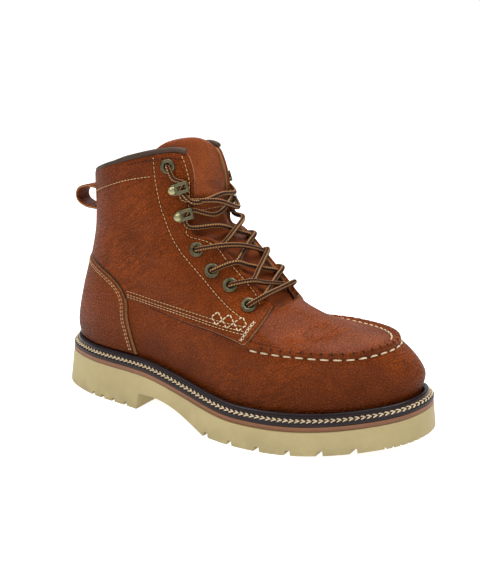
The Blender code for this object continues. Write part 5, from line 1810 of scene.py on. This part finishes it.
heavy = [level_row(STITCH_LEVEL, 5.02, TURN - 5.02, -0.012, 0.0003,
                   pitch=0.0084, length=0.0060, radius=0.00062)]
cross_thread = dict(pitch=0.0031, length=0.0026, radius=0.00048)
for inner in (False, True):
    for sign in (1, -1):
        peaks = [(159.0 + 4.5 * k, 82.8 - 0.46 * k + (sign * 4.3 if k % 2 else 0.0)) for k in range(7)]
        knots = to_last(np.array(peaks) / 1000, inner)
        heavy += [thread_row(even_loop([a, b], 0.0006, False), FACE, **cross_thread)
                  for a, b in zip(knots, knots[1:])]
    bar = even_loop(side_line(((185.2, 70.6), (187.6, 76.5), (190.0, 82.5)), inner), 0.0006, False)
    heavy += [thread_row(bar, FACE, pitch=0.0026, length=0.0036, radius=0.00032, slant=slant)
              for slant in (0.75, -0.75)]
finish_piece(sew("moc_stitches", heavy, CREAM_THREAD), "tan_leather")

plan_run = run_along(ring_at(SEAM_RING, ALL_ROUND))
pulls = np.interp(np.arange(PUCKER, plan_run[-1], PUCKER), plan_run, ALL_ROUND)
nick_levels = np.linspace(RIDGE_LEVEL - 0.060, RIDGE_LEVEL + 0.040, 8)
# Painted shade: dark thread stamps stand for the shaded slits where the ridge is gathered in.
nick_shade_stamp = dict(pitch=0.0030, length=0.0028, radius=0.00050)
nick_shades = [thread_row(np.stack([np.full(8, pull), nick_levels], 1), 0.0001, **nick_shade_stamp)
         for pull in pulls[(pulls > 5.2) & (pulls < TURN - 5.2)]]
finish_piece(sew("moc_gather_nick_shades", nick_shades, DARK_THREAD_AND_NICK_SHADE), "tan_leather")
plug_edge = level_row(3.27, 9.4, TURN - 5.1, RIDGE_LEVEL + 0.135 - 3.27, 0.0002,
                      pitch=0.0050, length=0.0039, radius=0.00054)
finish_piece(sew("plug_edge_stitches", [plug_edge], CREAM_THREAD), "tan_leather")

collar_row = np.linspace(2.55, 3.28, 60)
rows = [thread_row(np.stack([collar_row * sign, np.full(60, 4.93)], 1), FACE, pitch=0.0030, length=0.0022,
                   radius=0.00034) for sign in (1, -1)]
finish_piece(sew("collar_dark_stitches", rows, DARK_THREAD_AND_NICK_SHADE), "dark_binding")
print("stitches built")

# %% [markdown]
# ## Light and floor
#
# The photograph is a packshot: white all round, with broad soft light from above and a little from the
# camera's left. Large lamps keep the highlights wide, as on waxed leather; a low one lifts the sole.

# %% Stage
lamps = (
    # name, place, size, power
    ("key", (-0.60, -0.85, 1.10), 0.7, 8.0),
    ("fill", (0.95, -0.75, 0.60), 0.9, 2.5),
    ("top", (0.10, 0.10, 1.35), 0.9, 24.0),
    ("rim", (-0.35, 0.95, 0.75), 0.8, 5.0),
)
for name, place, size, power in lamps:
    data = bpy.data.lights.new(name, "AREA")
    data.shape, data.size, data.energy = "SQUARE", size, power
    lamp = bpy.data.objects.new(name, data)
    lamp.location = place
    lamp.rotation_euler = (Vector((0.0, 0.0, 0.07)) - Vector(place)).to_track_quat("-Z", "Y").to_euler()
    bpy.context.scene.collection.objects.link(lamp)

world = bpy.data.worlds.new("studio")
world.use_nodes = True
world.node_tree.nodes["Background"].inputs["Color"].default_value = (1.0, 1.0, 1.0, 1.0)
seen = world.node_tree.nodes.new("ShaderNodeLightPath").outputs["Is Camera Ray"]
strength = maths(world.node_tree, "ADD", 0.33, maths(world.node_tree, "MULTIPLY", seen, 0.72))
world.node_tree.links.new(strength, world.node_tree.nodes["Background"].inputs["Strength"])
bpy.context.scene.world = world

floor_material, _tree, floor_shader = start_material("studio floor", Roughness=0.9, Specular_IOR_Level=0.1)
floor_shader.inputs["Base Color"].default_value = (0.50, 0.50, 0.50, 1)
floor_shader.inputs["Emission Color"].default_value = (1.0, 1.0, 1.0, 1)
floor_shader.inputs["Emission Strength"].default_value = 0.87
floor_corners = [(-6, -6, 0), (6, -6, 0), (6, 6, 0), (-6, 6, 0)]
floor = add_object("floor", floor_corners, [(0, 1, 2, 3)], [floor_material], smooth=False)
bpy.context.scene.view_settings.view_transform = "Standard"
bpy.context.scene.view_settings.exposure = 0.0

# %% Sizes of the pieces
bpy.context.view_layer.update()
meshes = [item for item in bpy.context.scene.objects if item.type == "MESH"]
counts = {item.name: sum(len(p.vertices) - 2 for p in item.data.polygons) for item in meshes}
print("largest pieces:", sorted(counts.items(), key=lambda pair: -pair[1])[:6], "total", sum(counts.values()))
